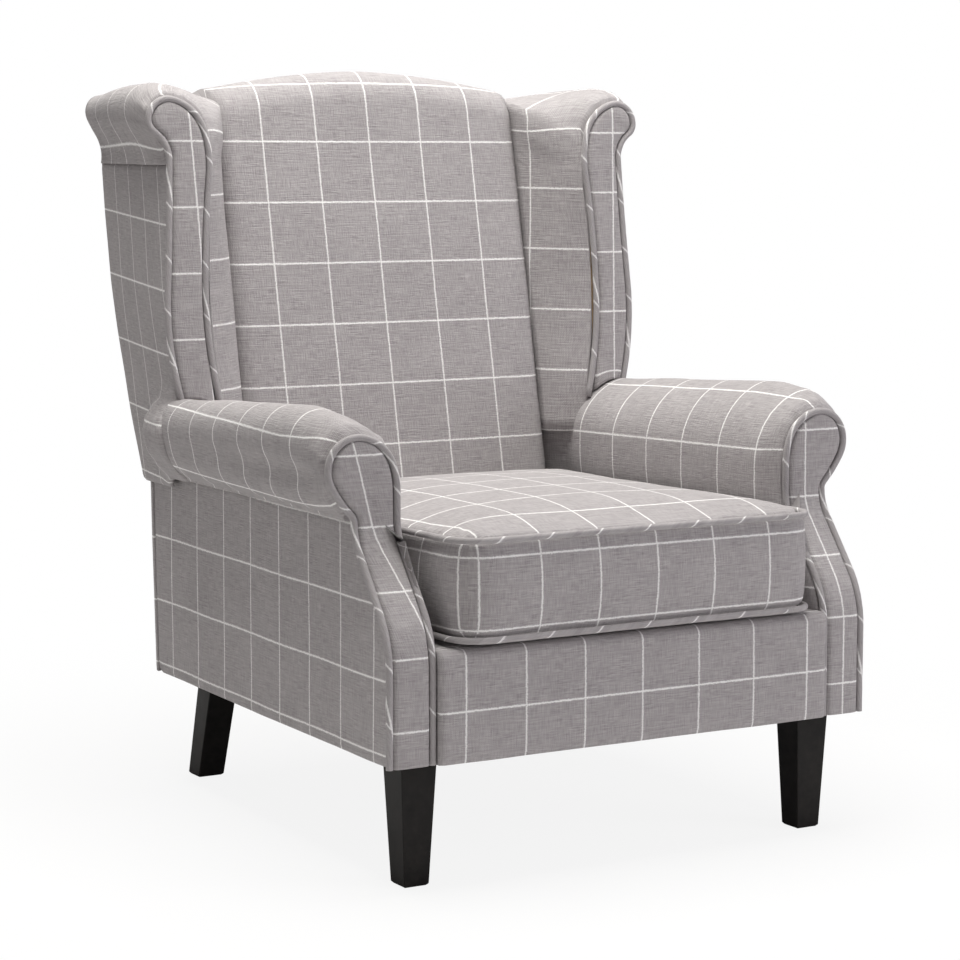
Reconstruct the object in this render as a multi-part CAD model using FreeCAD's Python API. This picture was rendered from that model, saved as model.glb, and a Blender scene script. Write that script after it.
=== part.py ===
import FreeCAD, Part
import math
import os

V = FreeCAD.Vector
os.makedirs("parts", exist_ok=True)

# Fireside chair: fixed wing back, rolled arms, loose seat cushion, four tapered legs.
# Millimetres, Z up, the sitter looks along -Y.  While building, y = 0 is the front of the
# front feet; at the end everything moves along Y so that the origin lies on the floor
# under the middle of the chair.  Left and right are the sitter's: left is +X.

# Fits
soft_fit = 0.3          # air between two sewn or padded pieces
bolt_fit = 0.15         # air around a bolt shank
slide_fit = 0.4         # air between the zip slider and the zip

# Legs
leg_height = 167.0
front_foot = 36.0
front_leg_top = 52.0
front_leg_x = 309.0
front_leg_y = 20.0
rear_foot_w = 41.0
rear_foot_d = 36.0
rear_leg_top = 44.0
rear_leg_x = 267.5
rear_leg_y = 670.0
rear_leg_rake = 51.0
foot_bevel = 3.0
bolt_r = 4.0
bolt_in_leg = 35.0
nut_flats = 13.0
nut_h = 6.5

# Timber frame
board = 30.0
frame_x = 336.0
rail_h = 123.0
front_rail_d = 36.0
block_h = 50.0
block_d = 43.0
rear_rail_d = 32.0
wing_board = 28.0
wing_board_x = 350.0
wing_rail_h = 30.0
crest_rail_h = 40.0
back_rail_h = 40.0
arm_rail_h = 30.0

# Arms
facing_y = -36.0        # face of the arm panel, lower part
roll_y = 56.0           # face of the arm panel at the roll
sweep_z = 284.0         # where the arm front starts to sweep back
sweep_angle = 38.0
sweep_r_low = 122.0
sweep_r_high = 60.0
facing_in = 301.0
facing_out = 371.0
facing_t = 9.0
roll_crest_x = 357.0
roll_crest_z = 574.5    # top of the arm panel
roll_out_x = 407.5
roll_out_z = 533.0
arm_high_z = 599.5      # highest point of the arm roll
arm_high_y = 170.0
arm_back_z = 577.0      # arm roll under the wing
arm_end_y = 606.0
inside_arm_x = 297.0
skirt_z = leg_height - 3    # lower edge of the covers
side_front_x = 363.5
side_rear_x = 344.0

# Back
tuck_y = 588.0          # inside back, at the cushion
tuck_z = 430.0
back_slope = 0.205
back_pad_t = 60.0
back_half = 250.0
back_crown = 8.0
crest_z = 1043.0
crest_side_z = 1014.0
crest_fall = 25.0
crest_round = 42.0
rear_foot_y = 728.0     # outline of the outside back
rear_waist_y = 740.0
rear_waist_z = 446.0
rear_mid_y = 817.0
rear_mid_z = 630.0
rear_top_y = 893.0
rear_top_z = 906.0
rear_lean = 0.19
rear_panel_t = 8.0
rear_panel_z = 985.0
corner_r = 18.0

# Wings
wing_y = 565.0          # face of the wing panel at its foot
wing_z = 577.3
wing_tilt = 4.2
scroll_z = 905.0        # seam under the scroll
scroll_high_z = 1020.0

# Seat
web_t = 1.8
web_w = 95.0
web_pitch = 165.0
deck_y = -45.0
seat_tilt = 1.15
cover_t = 17.7
deck_pad = 20.0
deck_z = leg_height + rail_h + deck_pad

# Cushion
cushion_half = 275.0
cushion_front = -60.0
cushion_rear = 571.0
cushion_seam_low = 9.5
cushion_seam_high = 135.5
cushion_crown = 24.0
cushion_corner = 46.0
cushion_rear_corner = 30.0
cushion_hollow = 0.02   # radians; half the angle over which a side draws in
seam_pinch = 7.0        # how far the cushion draws in at its piped seams
zip_len = 440.0
zip_w = 26.0
zip_t = 1.2
zip_slot = 5.0
teeth_w = 5.0
teeth_t = 1.0

# Piping
piping_r = 4.5
seam_r = piping_r + soft_fit

# Far limits for the trimming regions
far_x = 1.1 * roll_out_x
far_y = 1.3 * rear_top_y
far_z = 1.1 * crest_z
near_y = 5 * cushion_front
low_z = skirt_z / 2

nodes = {}


def add(name, shape):
    nodes[name] = shape


def add_pair(name, shape):
    nodes[name + "_left"] = shape
    nodes[name + "_right"] = shape.mirror(V(0, 0, 0), V(1, 0, 0))


def box(x0, x1, y0, y1, z0, z1):
    return Part.makeBox(x1 - x0, y1 - y0, z1 - z0, V(x0, y0, z0))


def line(a, b):
    return Part.LineSegment(a, b).toShape()


def arc(a, b, c):
    return Part.Arc(a, b, c).toShape()


def side_solid(points, x0, x1):
    """Straight-sided outline in the YZ plane, drawn across from x0 to x1."""
    loop = [V(x0, y, z) for y, z in points]
    face = Part.Face(Part.makePolygon(loop + [loop[0]]))
    return face.extrude(V(x1 - x0, 0, 0))


def plan_wire(points, z):
    loop = [V(x, y, z) for x, y in points]
    return Part.makePolygon(loop + [loop[0]])


def chain(points, heading):
    """Arcs through the points in an XZ plane, each starting in the direction in which the
    last one ended.  Returns the edges and the heading in degrees at every point."""
    edges = []
    headings = [heading]
    h = math.radians(heading)
    for a, b in zip(points, points[1:]):
        step = b - a
        turn = 2 * (math.atan2(step.z, step.x) - h)
        turn = math.atan2(math.sin(turn / 2), math.cos(turn / 2)) * 2
        if abs(turn) < 0.002:
            edges.append(line(a, b))
        else:
            aside = V(step.z, 0, -step.x) * (math.tan(turn / 4) / 2)
            edges.append(arc(a, (a + b) * 0.5 + aside, b))
        h = h + turn
        headings.append(math.degrees(h))
    return edges, headings


def inset(points, heading, depth, y):
    """Edges of the same chain drawn depth further inside, in the plane at y."""
    headings = chain(points, heading)[1]
    headings[-1] = -90
    moved = []
    for p, h in zip(points, headings):
        h = math.radians(h)
        moved.append(V(p.x + depth * math.sin(h), y, p.z - depth * math.cos(h)))
    return chain(moved, heading)[0]


def chords(edges, depth):
    """Points along edges that follow on; no chord leaves its arc by more than depth."""
    points = [edges[0].valueAt(edges[0].FirstParameter)]
    for e in edges:
        span = e.LastParameter - e.FirstParameter
        count = 1
        if e.Curve.TypeId == "Part::GeomCircle":
            count = math.ceil(span / 2 / math.acos(1 - depth / max(e.Curve.Radius, 2 * depth)))
        for i in range(count):
            points.append(e.valueAt(e.FirstParameter + span * (i + 1) / count))
    return points


def ring(edges, count):
    """Corners of a closed outline that takes count chords on every arc."""
    points = []
    for e in edges:
        span = e.LastParameter - e.FirstParameter
        steps = count if e.Curve.TypeId == "Part::GeomCircle" else 1
        for i in range(steps):
            points.append(e.valueAt(e.FirstParameter + span * i / steps))
    return points


def skin(rings, closed=False):
    """Solid with flat facets between outlines of as many corners each; the ends are flat,
    or a closed one goes round to its first outline."""
    shapes = []
    count = len(rings)
    for i in range(count if closed else count - 1):
        a = rings[i]
        b = rings[(i + 1) % count]
        for k in range(len(a)):
            m = (k + 1) % len(a)
            across = (a[m] - a[k]).cross(b[m] - a[k])
            if abs(across.dot(b[k] - a[k])) < across.Length * 1e-7:
                shapes.append([a[k], a[m], b[m], b[k]])
            else:
                shapes.append([a[k], a[m], b[m]])
                shapes.append([a[k], b[m], b[k]])
    if not closed:
        shapes.append(rings[0])
        shapes.append(rings[-1])
    faces = [Part.Face(Part.makePolygon(shape + [shape[0]])) for shape in shapes]
    solid = Part.Solid(Part.Shell(faces))
    if solid.Volume < 0:
        solid.reverse()
    return solid


# Regions that the pieces are trimmed with

sweep = math.radians(sweep_angle)
sweep_straight = roll_y - facing_y - (sweep_r_low + sweep_r_high) * (1 - math.cos(sweep))
sweep_straight = sweep_straight / math.sin(sweep)
roll_z = sweep_z + (sweep_r_low + sweep_r_high) * math.sin(sweep)
roll_z = roll_z + sweep_straight * math.cos(sweep)


def arm_front(x, shift, z_low, z_high):
    """Side view of the arm front, shift behind the panel's face, as edges going up."""
    low = V(x, facing_y + sweep_r_low, sweep_z)
    high = V(x, roll_y - sweep_r_high, roll_z)
    ra = sweep_r_low - shift
    rb = sweep_r_high + shift
    half = sweep / 2
    p1 = low + V(0, -ra, 0)
    p1m = low + V(0, -ra * math.cos(half), ra * math.sin(half))
    p2 = low + V(0, -ra * math.cos(sweep), ra * math.sin(sweep))
    p3 = high + V(0, rb * math.cos(sweep), -rb * math.sin(sweep))
    p3m = high + V(0, rb * math.cos(half), -rb * math.sin(half))
    p4 = high + V(0, rb, 0)
    edges = [line(V(x, p1.y, z_low), p1), arc(p1, p1m, p2), line(p2, p3), arc(p3, p3m, p4)]
    if z_high > roll_z:
        edges.append(line(p4, V(x, p4.y, z_high)))
    return edges


def behind_arm(shift):
    """Everything behind the arm front."""
    x = frame_x / 2
    edges = arm_front(x, shift, low_z, far_z)
    a = edges[0].Vertexes[0].Point
    b = edges[-1].Vertexes[-1].Point
    c = V(x, far_y, far_z)
    d = V(x, far_y, low_z)
    return Part.Face(Part.Wire(edges + [line(b, c), line(c, d), line(d, a)])).extrude(V(far_x, 0, 0))


def rear_y(z):
    """Outline of the outside back above its upper arc."""
    return rear_top_y + rear_lean * (z - rear_top_z)


def before_rear(shift):
    """Everything in front of the outside back's face, shift further forward."""
    x = -far_x
    foot = V(x, rear_foot_y - shift, low_z)
    waist = V(x, rear_waist_y - shift, rear_waist_z)
    mid = V(x, rear_mid_y - shift, rear_mid_z)
    top = V(x, rear_top_y - shift, rear_top_z)
    end = V(x, rear_y(far_z) - shift, far_z)
    a = V(x, near_y, far_z)
    b = V(x, near_y, low_z)
    edges = [line(foot, waist), arc(waist, mid, top), line(top, end), line(end, a), line(a, b), line(b, foot)]
    return Part.Face(Part.Wire(edges)).extrude(V(2 * far_x, 0, 0))


def back_y(z):
    """Inside back at its edges."""
    return tuck_y + back_slope * max(0.0, z - tuck_z)


def behind_back(shift):
    points = [(tuck_y + shift, low_z), (tuck_y + shift, tuck_z), (back_y(far_z) + shift, far_z),
              (far_y, far_z), (far_y, low_z)]
    return side_solid(points, -far_x, far_x)


def tilt_wing(shape):
    turned = shape.copy()
    turned.rotate(V(0, wing_y, wing_z), V(1, 0, 0), -wing_tilt)
    return turned


def behind_wing(shift):
    return tilt_wing(box(0, far_x, wing_y + shift, 1.2 * far_y, wing_z / 2, 1.2 * far_z))


frame_in = frame_x - board
rail_top = leg_height + rail_h
post_front = facing_t + soft_fit
timber_rear = before_rear(rear_panel_t)
cover_rear = before_rear(rear_panel_t + soft_fit)

# Legs: square and tapered, black, the rear pair raked backwards; each hangs on a bolt

bolt_z0 = leg_height - bolt_in_leg
block_top = leg_height + block_h


def tapered_leg(x, y, foot_w, foot_d, top_w, top_d, rake):
    """Square leg drawn as a wedge on its side, narrow end down, then stood up."""
    fx = foot_w / 2
    fy = foot_d / 2
    tx = top_w / 2
    ty = top_d / 2
    leg = Part.makeWedge(-tx, 0, -ty, rake - fy, -fx, tx, leg_height, ty, rake + fy, fx)
    leg.rotate(V(0, 0, 0), V(1, 0, 0), -90)
    leg.translate(V(x, y, leg_height))
    foot_edges = [e for e in leg.Edges if e.BoundBox.ZMax < 0.01]
    leg = leg.makeChamfer(foot_bevel, foot_edges)
    bore = Part.makeCylinder(bolt_r + bolt_fit, bolt_in_leg + 1, V(x, y, bolt_z0))
    return leg.cut(bore)


def leg_bolt(x, y):
    shank = Part.makeCylinder(bolt_r, block_top + nut_h + 5 - bolt_z0, V(x, y, bolt_z0))
    r = nut_flats / 2 / math.cos(math.pi / 6)
    corners = [(x + r * math.cos(i * math.pi / 3), y + r * math.sin(i * math.pi / 3)) for i in range(6)]
    nut = Part.Face(plan_wire(corners, block_top)).extrude(V(0, 0, nut_h))
    return shank.fuse(nut)


def bolt_hole(x, y):
    return Part.makeCylinder(bolt_r + bolt_fit, block_h + 2, V(x, y, leg_height - 1))


add_pair("front_leg", tapered_leg(front_leg_x, front_leg_y, front_foot, front_foot,
                                  front_leg_top, front_leg_top - 2, 0))
add_pair("rear_leg", tapered_leg(rear_leg_x, rear_leg_y, rear_foot_w, rear_foot_d,
                                 rear_leg_top, rear_leg_top, rear_leg_rake))
add_pair("front_leg_bolt", leg_bolt(front_leg_x, front_leg_y))
add_pair("rear_leg_bolt", leg_bolt(rear_leg_x, rear_leg_y))

# Timber frame: front, side and rear seat rails butted to sawn posts, with corner blocks

post_low_y = facing_y + post_front
front_rail_y = post_low_y + front_rail_d
block_in_x = 262.0
post_x = tuck_y + back_pad_t

add("front_rail", box(-frame_in, frame_in, post_low_y, front_rail_y, leg_height, rail_top))

arm_post = behind_arm(post_front).cut(behind_arm(post_front + front_rail_d))
arm_post = arm_post.common(box(frame_in, frame_x, near_y, arm_high_y, leg_height, roll_z))
add_pair("arm_post", arm_post)

front_block = box(block_in_x, frame_x, front_rail_y, front_rail_y + block_d, leg_height, block_top)
add_pair("front_corner_block", front_block.cut(bolt_hole(front_leg_x, front_leg_y)))

add_pair("side_rail", box(frame_in, frame_x, front_rail_y + block_d, post_x, leg_height, rail_top))

back_post = behind_back(back_pad_t).common(timber_rear)
add_pair("back_post", back_post.common(box(frame_in, frame_x, 0, far_y, leg_height, scroll_z)))

rear_rail_y = rear_foot_y - rear_panel_t - rear_rail_d
rear_rail = box(-frame_in, frame_in, rear_rail_y, far_y, leg_height, rail_top)
add("rear_rail", rear_rail.common(timber_rear))

rear_block = box(rear_leg_x - rear_leg_top / 2 - 4, frame_in, post_x, rear_rail_y, leg_height, block_top)
add_pair("rear_corner_block", rear_block.cut(bolt_hole(rear_leg_x, rear_leg_y)))

arm_rail = box(frame_in, frame_x, 0, far_y, roll_z - arm_rail_h, roll_z)
arm_rail = arm_rail.common(behind_arm(post_front + front_rail_d))
add_pair("arm_rail", arm_rail.cut(behind_back(back_pad_t)))

add("lower_back_rail", box(-frame_in, frame_in, post_x, post_x + 32, tuck_z - back_rail_h, tuck_z))

crest_rail = box(-frame_in, frame_in, 0, far_y, scroll_z - crest_rail_h, scroll_z)
crest_rail = crest_rail.common(behind_back(back_pad_t)).cut(behind_back(back_pad_t + 45))
add("crest_rail", crest_rail)

wing_post = box(wing_board_x - wing_board, wing_board_x, 0, far_y, wing_z, scroll_z)
wing_post = wing_post.common(behind_wing(facing_t)).cut(behind_wing(facing_t + 45))
wing_stub = box(wing_board_x - wing_board, wing_board_x, arm_end_y, arm_end_y + 40, roll_z, wing_z + 60)
wing_post = wing_post.fuse(wing_stub).removeSplitter()
add_pair("wing_post", wing_post)

wing_rail = box(wing_board_x - wing_board, wing_board_x, 0, far_y, scroll_z - wing_rail_h, scroll_z)
wing_rail = wing_rail.common(behind_wing(facing_t + 45)).cut(behind_back(back_pad_t))
add_pair("wing_rail", wing_rail)

# Seat: broad webbing over the rails, a thin padded deck that slopes to the back

web_y1 = rear_foot_y - rear_panel_t - 6
for i in range(3):
    x = (i - 1) * web_pitch
    strap = box(x - web_w / 2, x + web_w / 2, post_low_y + 6, web_y1, rail_top, rail_top + web_t)
    add("webbing_" + str(i + 1), strap)


def tilt_seat(shape):
    turned = shape.copy()
    turned.rotate(V(0, deck_y, deck_z), V(1, 0, 0), -seat_tilt)
    return turned


under_cushion = tilt_seat(box(-far_x, far_x, near_y, far_y, low_z, deck_z))
deck = box(-inside_arm_x + 1, inside_arm_x - 1, post_low_y, post_x - 1, rail_top + web_t, deck_z + 20)
add("seat_deck", deck.common(under_cushion))

cover_top = deck_z - 3 * soft_fit
rail_cover = box(-facing_in + soft_fit, facing_in - soft_fit, deck_y, deck_y + cover_t, skirt_z, cover_top)
front_top = [e for e in rail_cover.Edges if e.BoundBox.YMax < deck_y + 0.01 and e.BoundBox.ZMin > cover_top - 0.01]
rail_cover = rail_cover.makeFillet(11, front_top)
add("front_rail_cover", rail_cover)

dust = box(-frame_x, frame_x, post_low_y, rear_foot_y - rear_panel_t, leg_height - 1.5, leg_height)
for sx in (-1, 1):
    fx = sx * front_leg_x
    rx = sx * rear_leg_x
    fr = front_leg_top / 2 + 2
    rr = rear_leg_top / 2 + 2
    dust = dust.cut(box(fx - fr, fx + fr, near_y, front_leg_y + fr, low_z, far_z))
    dust = dust.cut(box(rx - rr, rx + rr, rear_leg_y - rr, rear_leg_y + rr, low_z, far_z))
add("dust_cover", dust)

# Arms: a roll over the arm rail running down into the inside arm, a panel in front of it
# whose edge is piped, and a flat outside panel

roll_edge = [V(facing_in, 0, roll_z), V(facing_in, 0, 503), V(306.7, 0, 535.2),
             V(roll_crest_x, 0, roll_crest_z), V(roll_out_x, 0, roll_out_z),
             V(402, 0, 507), V(374.5, 0, 470.5), V(facing_out, 0, roll_z)]


def roll_curve(depth, y):
    return inset(roll_edge, 90, depth, y)


def arm_outline(depth):
    """Front outline of the arm panel, drawn depth inside the edge of its piping."""
    edges = roll_curve(depth, near_y)
    a = edges[0].Vertexes[0].Point
    b = edges[-1].Vertexes[-1].Point
    a_low = V(a.x, near_y, skirt_z)
    b_low = V(b.x, near_y, skirt_z)
    edges = edges + [line(b, b_low), line(b_low, a_low), line(a_low, a)]
    return Part.Face(Part.Wire(edges)).extrude(V(0, far_y, 0))


arm_panel = arm_outline(2 * piping_r + soft_fit)
arm_panel = arm_panel.common(behind_arm(0)).cut(behind_arm(facing_t))
add_pair("arm_facing", arm_panel)


def octagon_tube(points, closed, aside):
    """Tube with eight flat sides along a bent line, mitred at every bend; one pair of its
    flats faces the direction aside."""
    count = len(points)
    ways = [(points[(i + 1) % count] - points[i]).normalize() for i in range(count)]
    if not closed:
        ways[-1] = ways[-2]
    other = ways[0].cross(aside)
    corners = []
    for k in range(8):
        angle = (k + 0.5) * math.pi / 4
        reach = piping_r / math.cos(math.pi / 8)
        corners.append(points[0] + (aside * math.cos(angle) + other * math.sin(angle)) * reach)
    rings = []
    for i in range(count):
        before = ways[max(i - 1, 0)]
        mitre = ways[i] + (before if i > 0 or not closed else ways[-1])
        corners = [p + before * ((points[i] - p).dot(mitre) / before.dot(mitre)) for p in corners]
        rings.append(corners)
    return skin(rings, closed)


top_curve = roll_curve(piping_r, roll_y + piping_r)
inner_x = top_curve[0].Vertexes[0].Point.x
outer_x = top_curve[-1].Vertexes[-1].Point.x
inner_leg = chords(arm_front(inner_x, piping_r, skirt_z, roll_z), 0.2)
outer_leg = chords(arm_front(outer_x, piping_r, skirt_z, roll_z), 0.2)
outer_leg.reverse()
arm_cord = inner_leg + chords(top_curve, 0.2)[1:] + outer_leg[1:]
add_pair("arm_piping", octagon_tube(arm_cord, False, V(0, 1, 0)))


def roll_section(y, rise, grow):
    """Section across the arm roll: rise lifts its top, grow moves its outer side out."""
    base = roll_z + soft_fit
    x0 = inside_arm_x
    low = V(x0, y, base)
    end = V(facing_out + 2, y, base)
    top = [V(x0, y, 495), V(303.5, y, 533 + 0.5 * rise), V(roll_crest_x, y, roll_crest_z + rise),
           V(roll_out_x + grow, y, roll_out_z), V(402 + grow, y, 507), V(376 + grow / 2, y, 471)]
    edges = chain(top + [end], 90)[0]
    return ring([line(low, top[0])] + edges + [line(end, low)], 5)


roll_start = roll_y + facing_t + soft_fit
roll_end = arm_end_y - soft_fit
sections = [roll_section(roll_start, 0, 0),
            roll_section(roll_start + 12, 11, 2),
            roll_section(roll_start + 48, 20, 2),
            roll_section(arm_high_y, arm_high_z - roll_crest_z, 2),
            roll_section(560, arm_back_z - 0.6 - roll_crest_z, -3),
            roll_section(roll_end, arm_back_z - 0.6 - roll_crest_z, -6)]
arm_roll = skin(sections)
inside_arm = box(inside_arm_x, frame_in - soft_fit, near_y, roll_end, deck_z + 6, roll_z + 10)
inside_arm = inside_arm.common(behind_arm(facing_t + soft_fit))
add_pair("arm_pad", arm_roll.fuse(inside_arm).removeSplitter())

side_plan = Part.Wire([line(V(frame_x + soft_fit, -60, skirt_z), V(side_front_x, -60, skirt_z)),
                       arc(V(side_front_x, -60, skirt_z), V(side_front_x - 3, 300, skirt_z),
                           V(side_rear_x, rear_waist_y + 5, skirt_z)),
                       line(V(side_rear_x, rear_waist_y + 5, skirt_z),
                            V(frame_x + soft_fit, rear_waist_y + 5, skirt_z)),
                       line(V(frame_x + soft_fit, rear_waist_y + 5, skirt_z),
                            V(frame_x + soft_fit, -60, skirt_z))])
outside_arm = Part.Face(side_plan).extrude(V(0, 0, roll_z - soft_fit - skirt_z))
outside_arm = outside_arm.common(behind_arm(facing_t + soft_fit)).common(cover_rear)
outside_arm = outside_arm.cut(box(300, 400, arm_end_y, 900, rear_waist_z - soft_fit, 600))
low_rear = [e for e in outside_arm.Edges
            if e.BoundBox.YMin > rear_foot_y - 30 and e.BoundBox.ZMax < skirt_z + 0.01
            and e.BoundBox.XLength > 1]
outside_arm = outside_arm.makeFillet(corner_r, low_rear)
add_pair("outside_arm", outside_arm)

# Back: a crowned pad that rolls over the crest, a flat panel behind

pad_low = deck_z + 6
pad_ledge_y = back_y(scroll_z) + back_pad_t - soft_fit


def back_section(x, forward, top):
    """Side view of the inside back at x, forward of the plain slope by forward."""
    z1 = top - crest_round
    y1 = back_y(z1) - forward
    rear = rear_panel_t + soft_fit
    fall_z = top - crest_fall
    pts = [V(x, tuck_y - forward, pad_low), V(x, tuck_y - forward, tuck_z), V(x, y1, z1)]
    mid = V(x, y1 + 19, top - 9)
    high = V(x, y1 + 52, top)
    low_rear_point = V(x, rear_y(rear_top_z) - rear, scroll_z + soft_fit)
    last = V(x, rear_y(fall_z) - rear, fall_z)
    back_a = V(x, pad_ledge_y, scroll_z + soft_fit)
    back_b = V(x, tuck_y + back_pad_t - soft_fit, tuck_z)
    back_c = V(x, tuck_y + back_pad_t - soft_fit, pad_low)
    edges = [line(pts[0], pts[1]), line(pts[1], pts[2]), arc(pts[2], mid, high),
             line(high, last), line(last, low_rear_point), line(low_rear_point, back_a),
             line(back_a, back_b), line(back_b, back_c), line(back_c, pts[0])]
    return ring(edges, 6)


back_wires = []
for step in (-1.0, -0.9, -0.72, -0.5, -0.25, 0.0, 0.25, 0.5, 0.72, 0.9, 1.0):
    swell = 1.0 - step * step
    top = crest_side_z + (crest_z - crest_side_z) * (1.0 - abs(step) ** 1.6)
    back_wires.append(back_section(step * back_half, back_crown * swell ** 0.6, top))
add("back_pad", skin(back_wires))

panel = before_rear(0).cut(before_rear(rear_panel_t))
xr = side_rear_x - soft_fit
arch = [line(V(-xr, 500, skirt_z), V(-xr, 500, rear_panel_z)),
        arc(V(-xr, 500, rear_panel_z), V(0, 500, crest_z - crest_fall - 6), V(xr, 500, rear_panel_z)),
        line(V(xr, 500, rear_panel_z), V(xr, 500, skirt_z)), line(V(xr, 500, skirt_z), V(-xr, 500, skirt_z))]
panel = panel.common(Part.Face(Part.Wire(arch)).extrude(V(0, 500, 0)))
add("outside_back", panel)

# Wings: a piped front panel, a padded inside, a scrolled top and a flat outside panel

wing_edge = [V(308, 0, wing_z), V(322.9, 0, 724.7), V(310.6, 0, 889.4), V(314.1, 0, 950.5),
             V(364.9, 0, 1000.9), V(408.2, 0, 969.1), V(397.7, 0, 948.2), V(379, 0, 912.5),
             V(389, 0, 730.7), V(375, 0, wing_z)]
wing_heading = 77.4


def wing_curve(depth, y):
    return inset(wing_edge, wing_heading, depth, y)


def wing_plate(depth, y0, y1):
    edges = wing_curve(depth, y0)
    a = edges[0].Vertexes[0].Point
    b = edges[-1].Vertexes[-1].Point
    face = Part.Face(Part.Wire(edges + [line(b, a)]))
    return face.extrude(V(0, y1 - y0, 0))


wing_floor = box(0, far_x, 0, far_y, low_z, wing_z)
wing_panel = wing_plate(2 * piping_r + soft_fit, wing_y, wing_y + facing_t)
add_pair("wing_facing", tilt_wing(wing_panel).cut(wing_floor))
wing_cord = chords(wing_curve(piping_r, wing_y + piping_r), 0.2)
wing_cord = octagon_tube(wing_cord, False, V(0, 1, 0))
add_pair("wing_piping", tilt_wing(wing_cord).cut(wing_floor))


def wing_y_at(z):
    return wing_y + math.tan(math.radians(wing_tilt)) * (z - wing_z)


def wing_pad_section(z, inner):
    """Plan of the inside wing at height z: slants from the wing edge in to the back."""
    x0 = back_half + 2
    x1 = wing_board_x - wing_board - soft_fit
    y_rear = back_y(z) + back_pad_t - soft_fit
    y_front = wing_y_at(z) - 5
    a = V(x0, y_rear, z)
    b = V(x0, back_y(z) - 1, z)
    c = V(inner, y_front, z)
    d = V(x1, y_front, z)
    e = V(x1, y_rear, z)
    mid = (b + c) * 0.5 + V(-5, -6, 0)
    return ring([line(a, b), arc(b, mid, c), line(c, d), line(d, e), line(e, a)], 5)


wing_pad_wires = [wing_pad_section(wing_z, 309), wing_pad_section(720, 321),
                  wing_pad_section(scroll_z - soft_fit, 309)]
wing_pad = skin(wing_pad_wires)
wing_pad = wing_pad.common(behind_wing(facing_t + soft_fit)).cut(behind_back(back_pad_t - soft_fit))
tuck = box(back_half + 2, frame_in - soft_fit, tuck_y, far_y, pad_low, wing_z + 5)
tuck = tuck.common(box(0, far_x, arm_end_y, far_y, low_z, far_z))
tuck = tuck.cut(behind_back(back_pad_t - soft_fit))
add_pair("wing_pad", wing_pad.fuse(tuck).removeSplitter())


def scroll_section(y, inner, shoulder, crest, slim):
    """Section across the wing's top: a long inner slope, a crest and a rolled outer edge;
    slim draws its outer side in."""
    base = scroll_z + soft_fit
    corner = V(inner, y, shoulder)
    high = V(366 - 0.6 * slim, y, crest)
    rise = math.degrees(math.atan2(crest - shoulder, high.x - inner))
    end = V(380 - 0.68 * slim, y, base)
    points = [corner, high, V(409 - slim, y, 969), V(398.5 - slim, y, 948), end]
    edges = chain(points, 2 * rise - 6)[0]
    return ring([line(V(inner, y, base), corner)] + edges + [line(end, V(inner, y, base))], 5)


scroll_wires = [scroll_section(wing_y + 20, 312, 953, 1001, 0),
                scroll_section(wing_y + 54, 301, 968, 1018, 0),
                scroll_section(650, 281, 985, scroll_high_z, 2),
                scroll_section(720, 252, 1000, scroll_high_z - 2, 10),
                scroll_section(910, 252, 996, scroll_high_z - 14, 40)]
scroll = skin(scroll_wires)
scroll = scroll.common(behind_wing(facing_t + soft_fit)).common(cover_rear)
add_pair("wing_scroll", scroll)


def wing_side_section(z, front_x, rear_x, knee_y):
    y0 = 520.0
    y1 = 920.0
    inner = wing_board_x + soft_fit
    deep = frame_x + soft_fit
    belly_x = 0.42 * front_x + 0.58 * rear_x + 3
    belly_y = 0.42 * y0 + 0.58 * y1
    return [V(inner, y0, z), V(front_x, y0, z), V(belly_x, belly_y, z), V(rear_x, y1, z),
            V(deep, y1, z), V(deep, knee_y + 40, z), V(inner, knee_y, z)]


side_wires = [wing_side_section(rear_waist_z, 368, 342, 650), wing_side_section(wing_z, 378, 345, 690),
              wing_side_section(730, 391, 348, 720), wing_side_section(scroll_z, 382, 350, 760)]
outside_wing = skin(side_wires)
outside_wing = outside_wing.cut(box(300, 420, 400, arm_end_y, 400, wing_z))
outside_wing = outside_wing.common(behind_wing(facing_t + soft_fit)).common(cover_rear)
add_pair("outside_wing", outside_wing)

# Loose cushion: boxed, piped along both edges, crowned, its sides drawn in; zip behind


def cushion_outline(z, grow):
    """Level outline: four sides that draw in a little, joined by tangent corners."""
    hollow = cushion_hollow
    w = cushion_half + grow
    f = cushion_front - grow
    r = cushion_rear + grow
    rf = max(cushion_corner + grow, 12.0)
    rr = max(cushion_rear_corner + grow, 9.0)
    points = [V(-w + rf, f, z), V(w - rf, f, z), V(w, f + rf, z), V(w, r - rr, z),
              V(w - rr, r, z), V(-w + rr, r, z), V(-w, r - rr, z), V(-w, f + rf, z)]
    edges = []
    for i in range(8):
        a = points[i]
        b = points[(i + 1) % 8]
        out = (b - a).cross(V(0, 0, 1))
        if i % 2 == 1:
            rise = math.tan((math.pi / 2 + 2 * hollow) / 4) / 2
            edges.append(arc(a, (a + b) * 0.5 + out * rise, b))
        else:
            edges.append(arc(a, (a + b) * 0.5 - out * math.tan(hollow / 2) / 2, b))
    return edges


seam_low = deck_z + cushion_seam_low
seam_high = deck_z + cushion_seam_high
seam_mid = (seam_low + seam_high) / 2
seam_out = math.hypot(seam_pinch - 1, seam_pinch) / seam_pinch * (seam_r + soft_fit) - seam_pinch


def cushion_part(rings):
    """Skin through a few level rings, each given by how far it stands out and its height."""
    return skin([ring(cushion_outline(z, grow), 6) for grow, z in rings])


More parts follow.
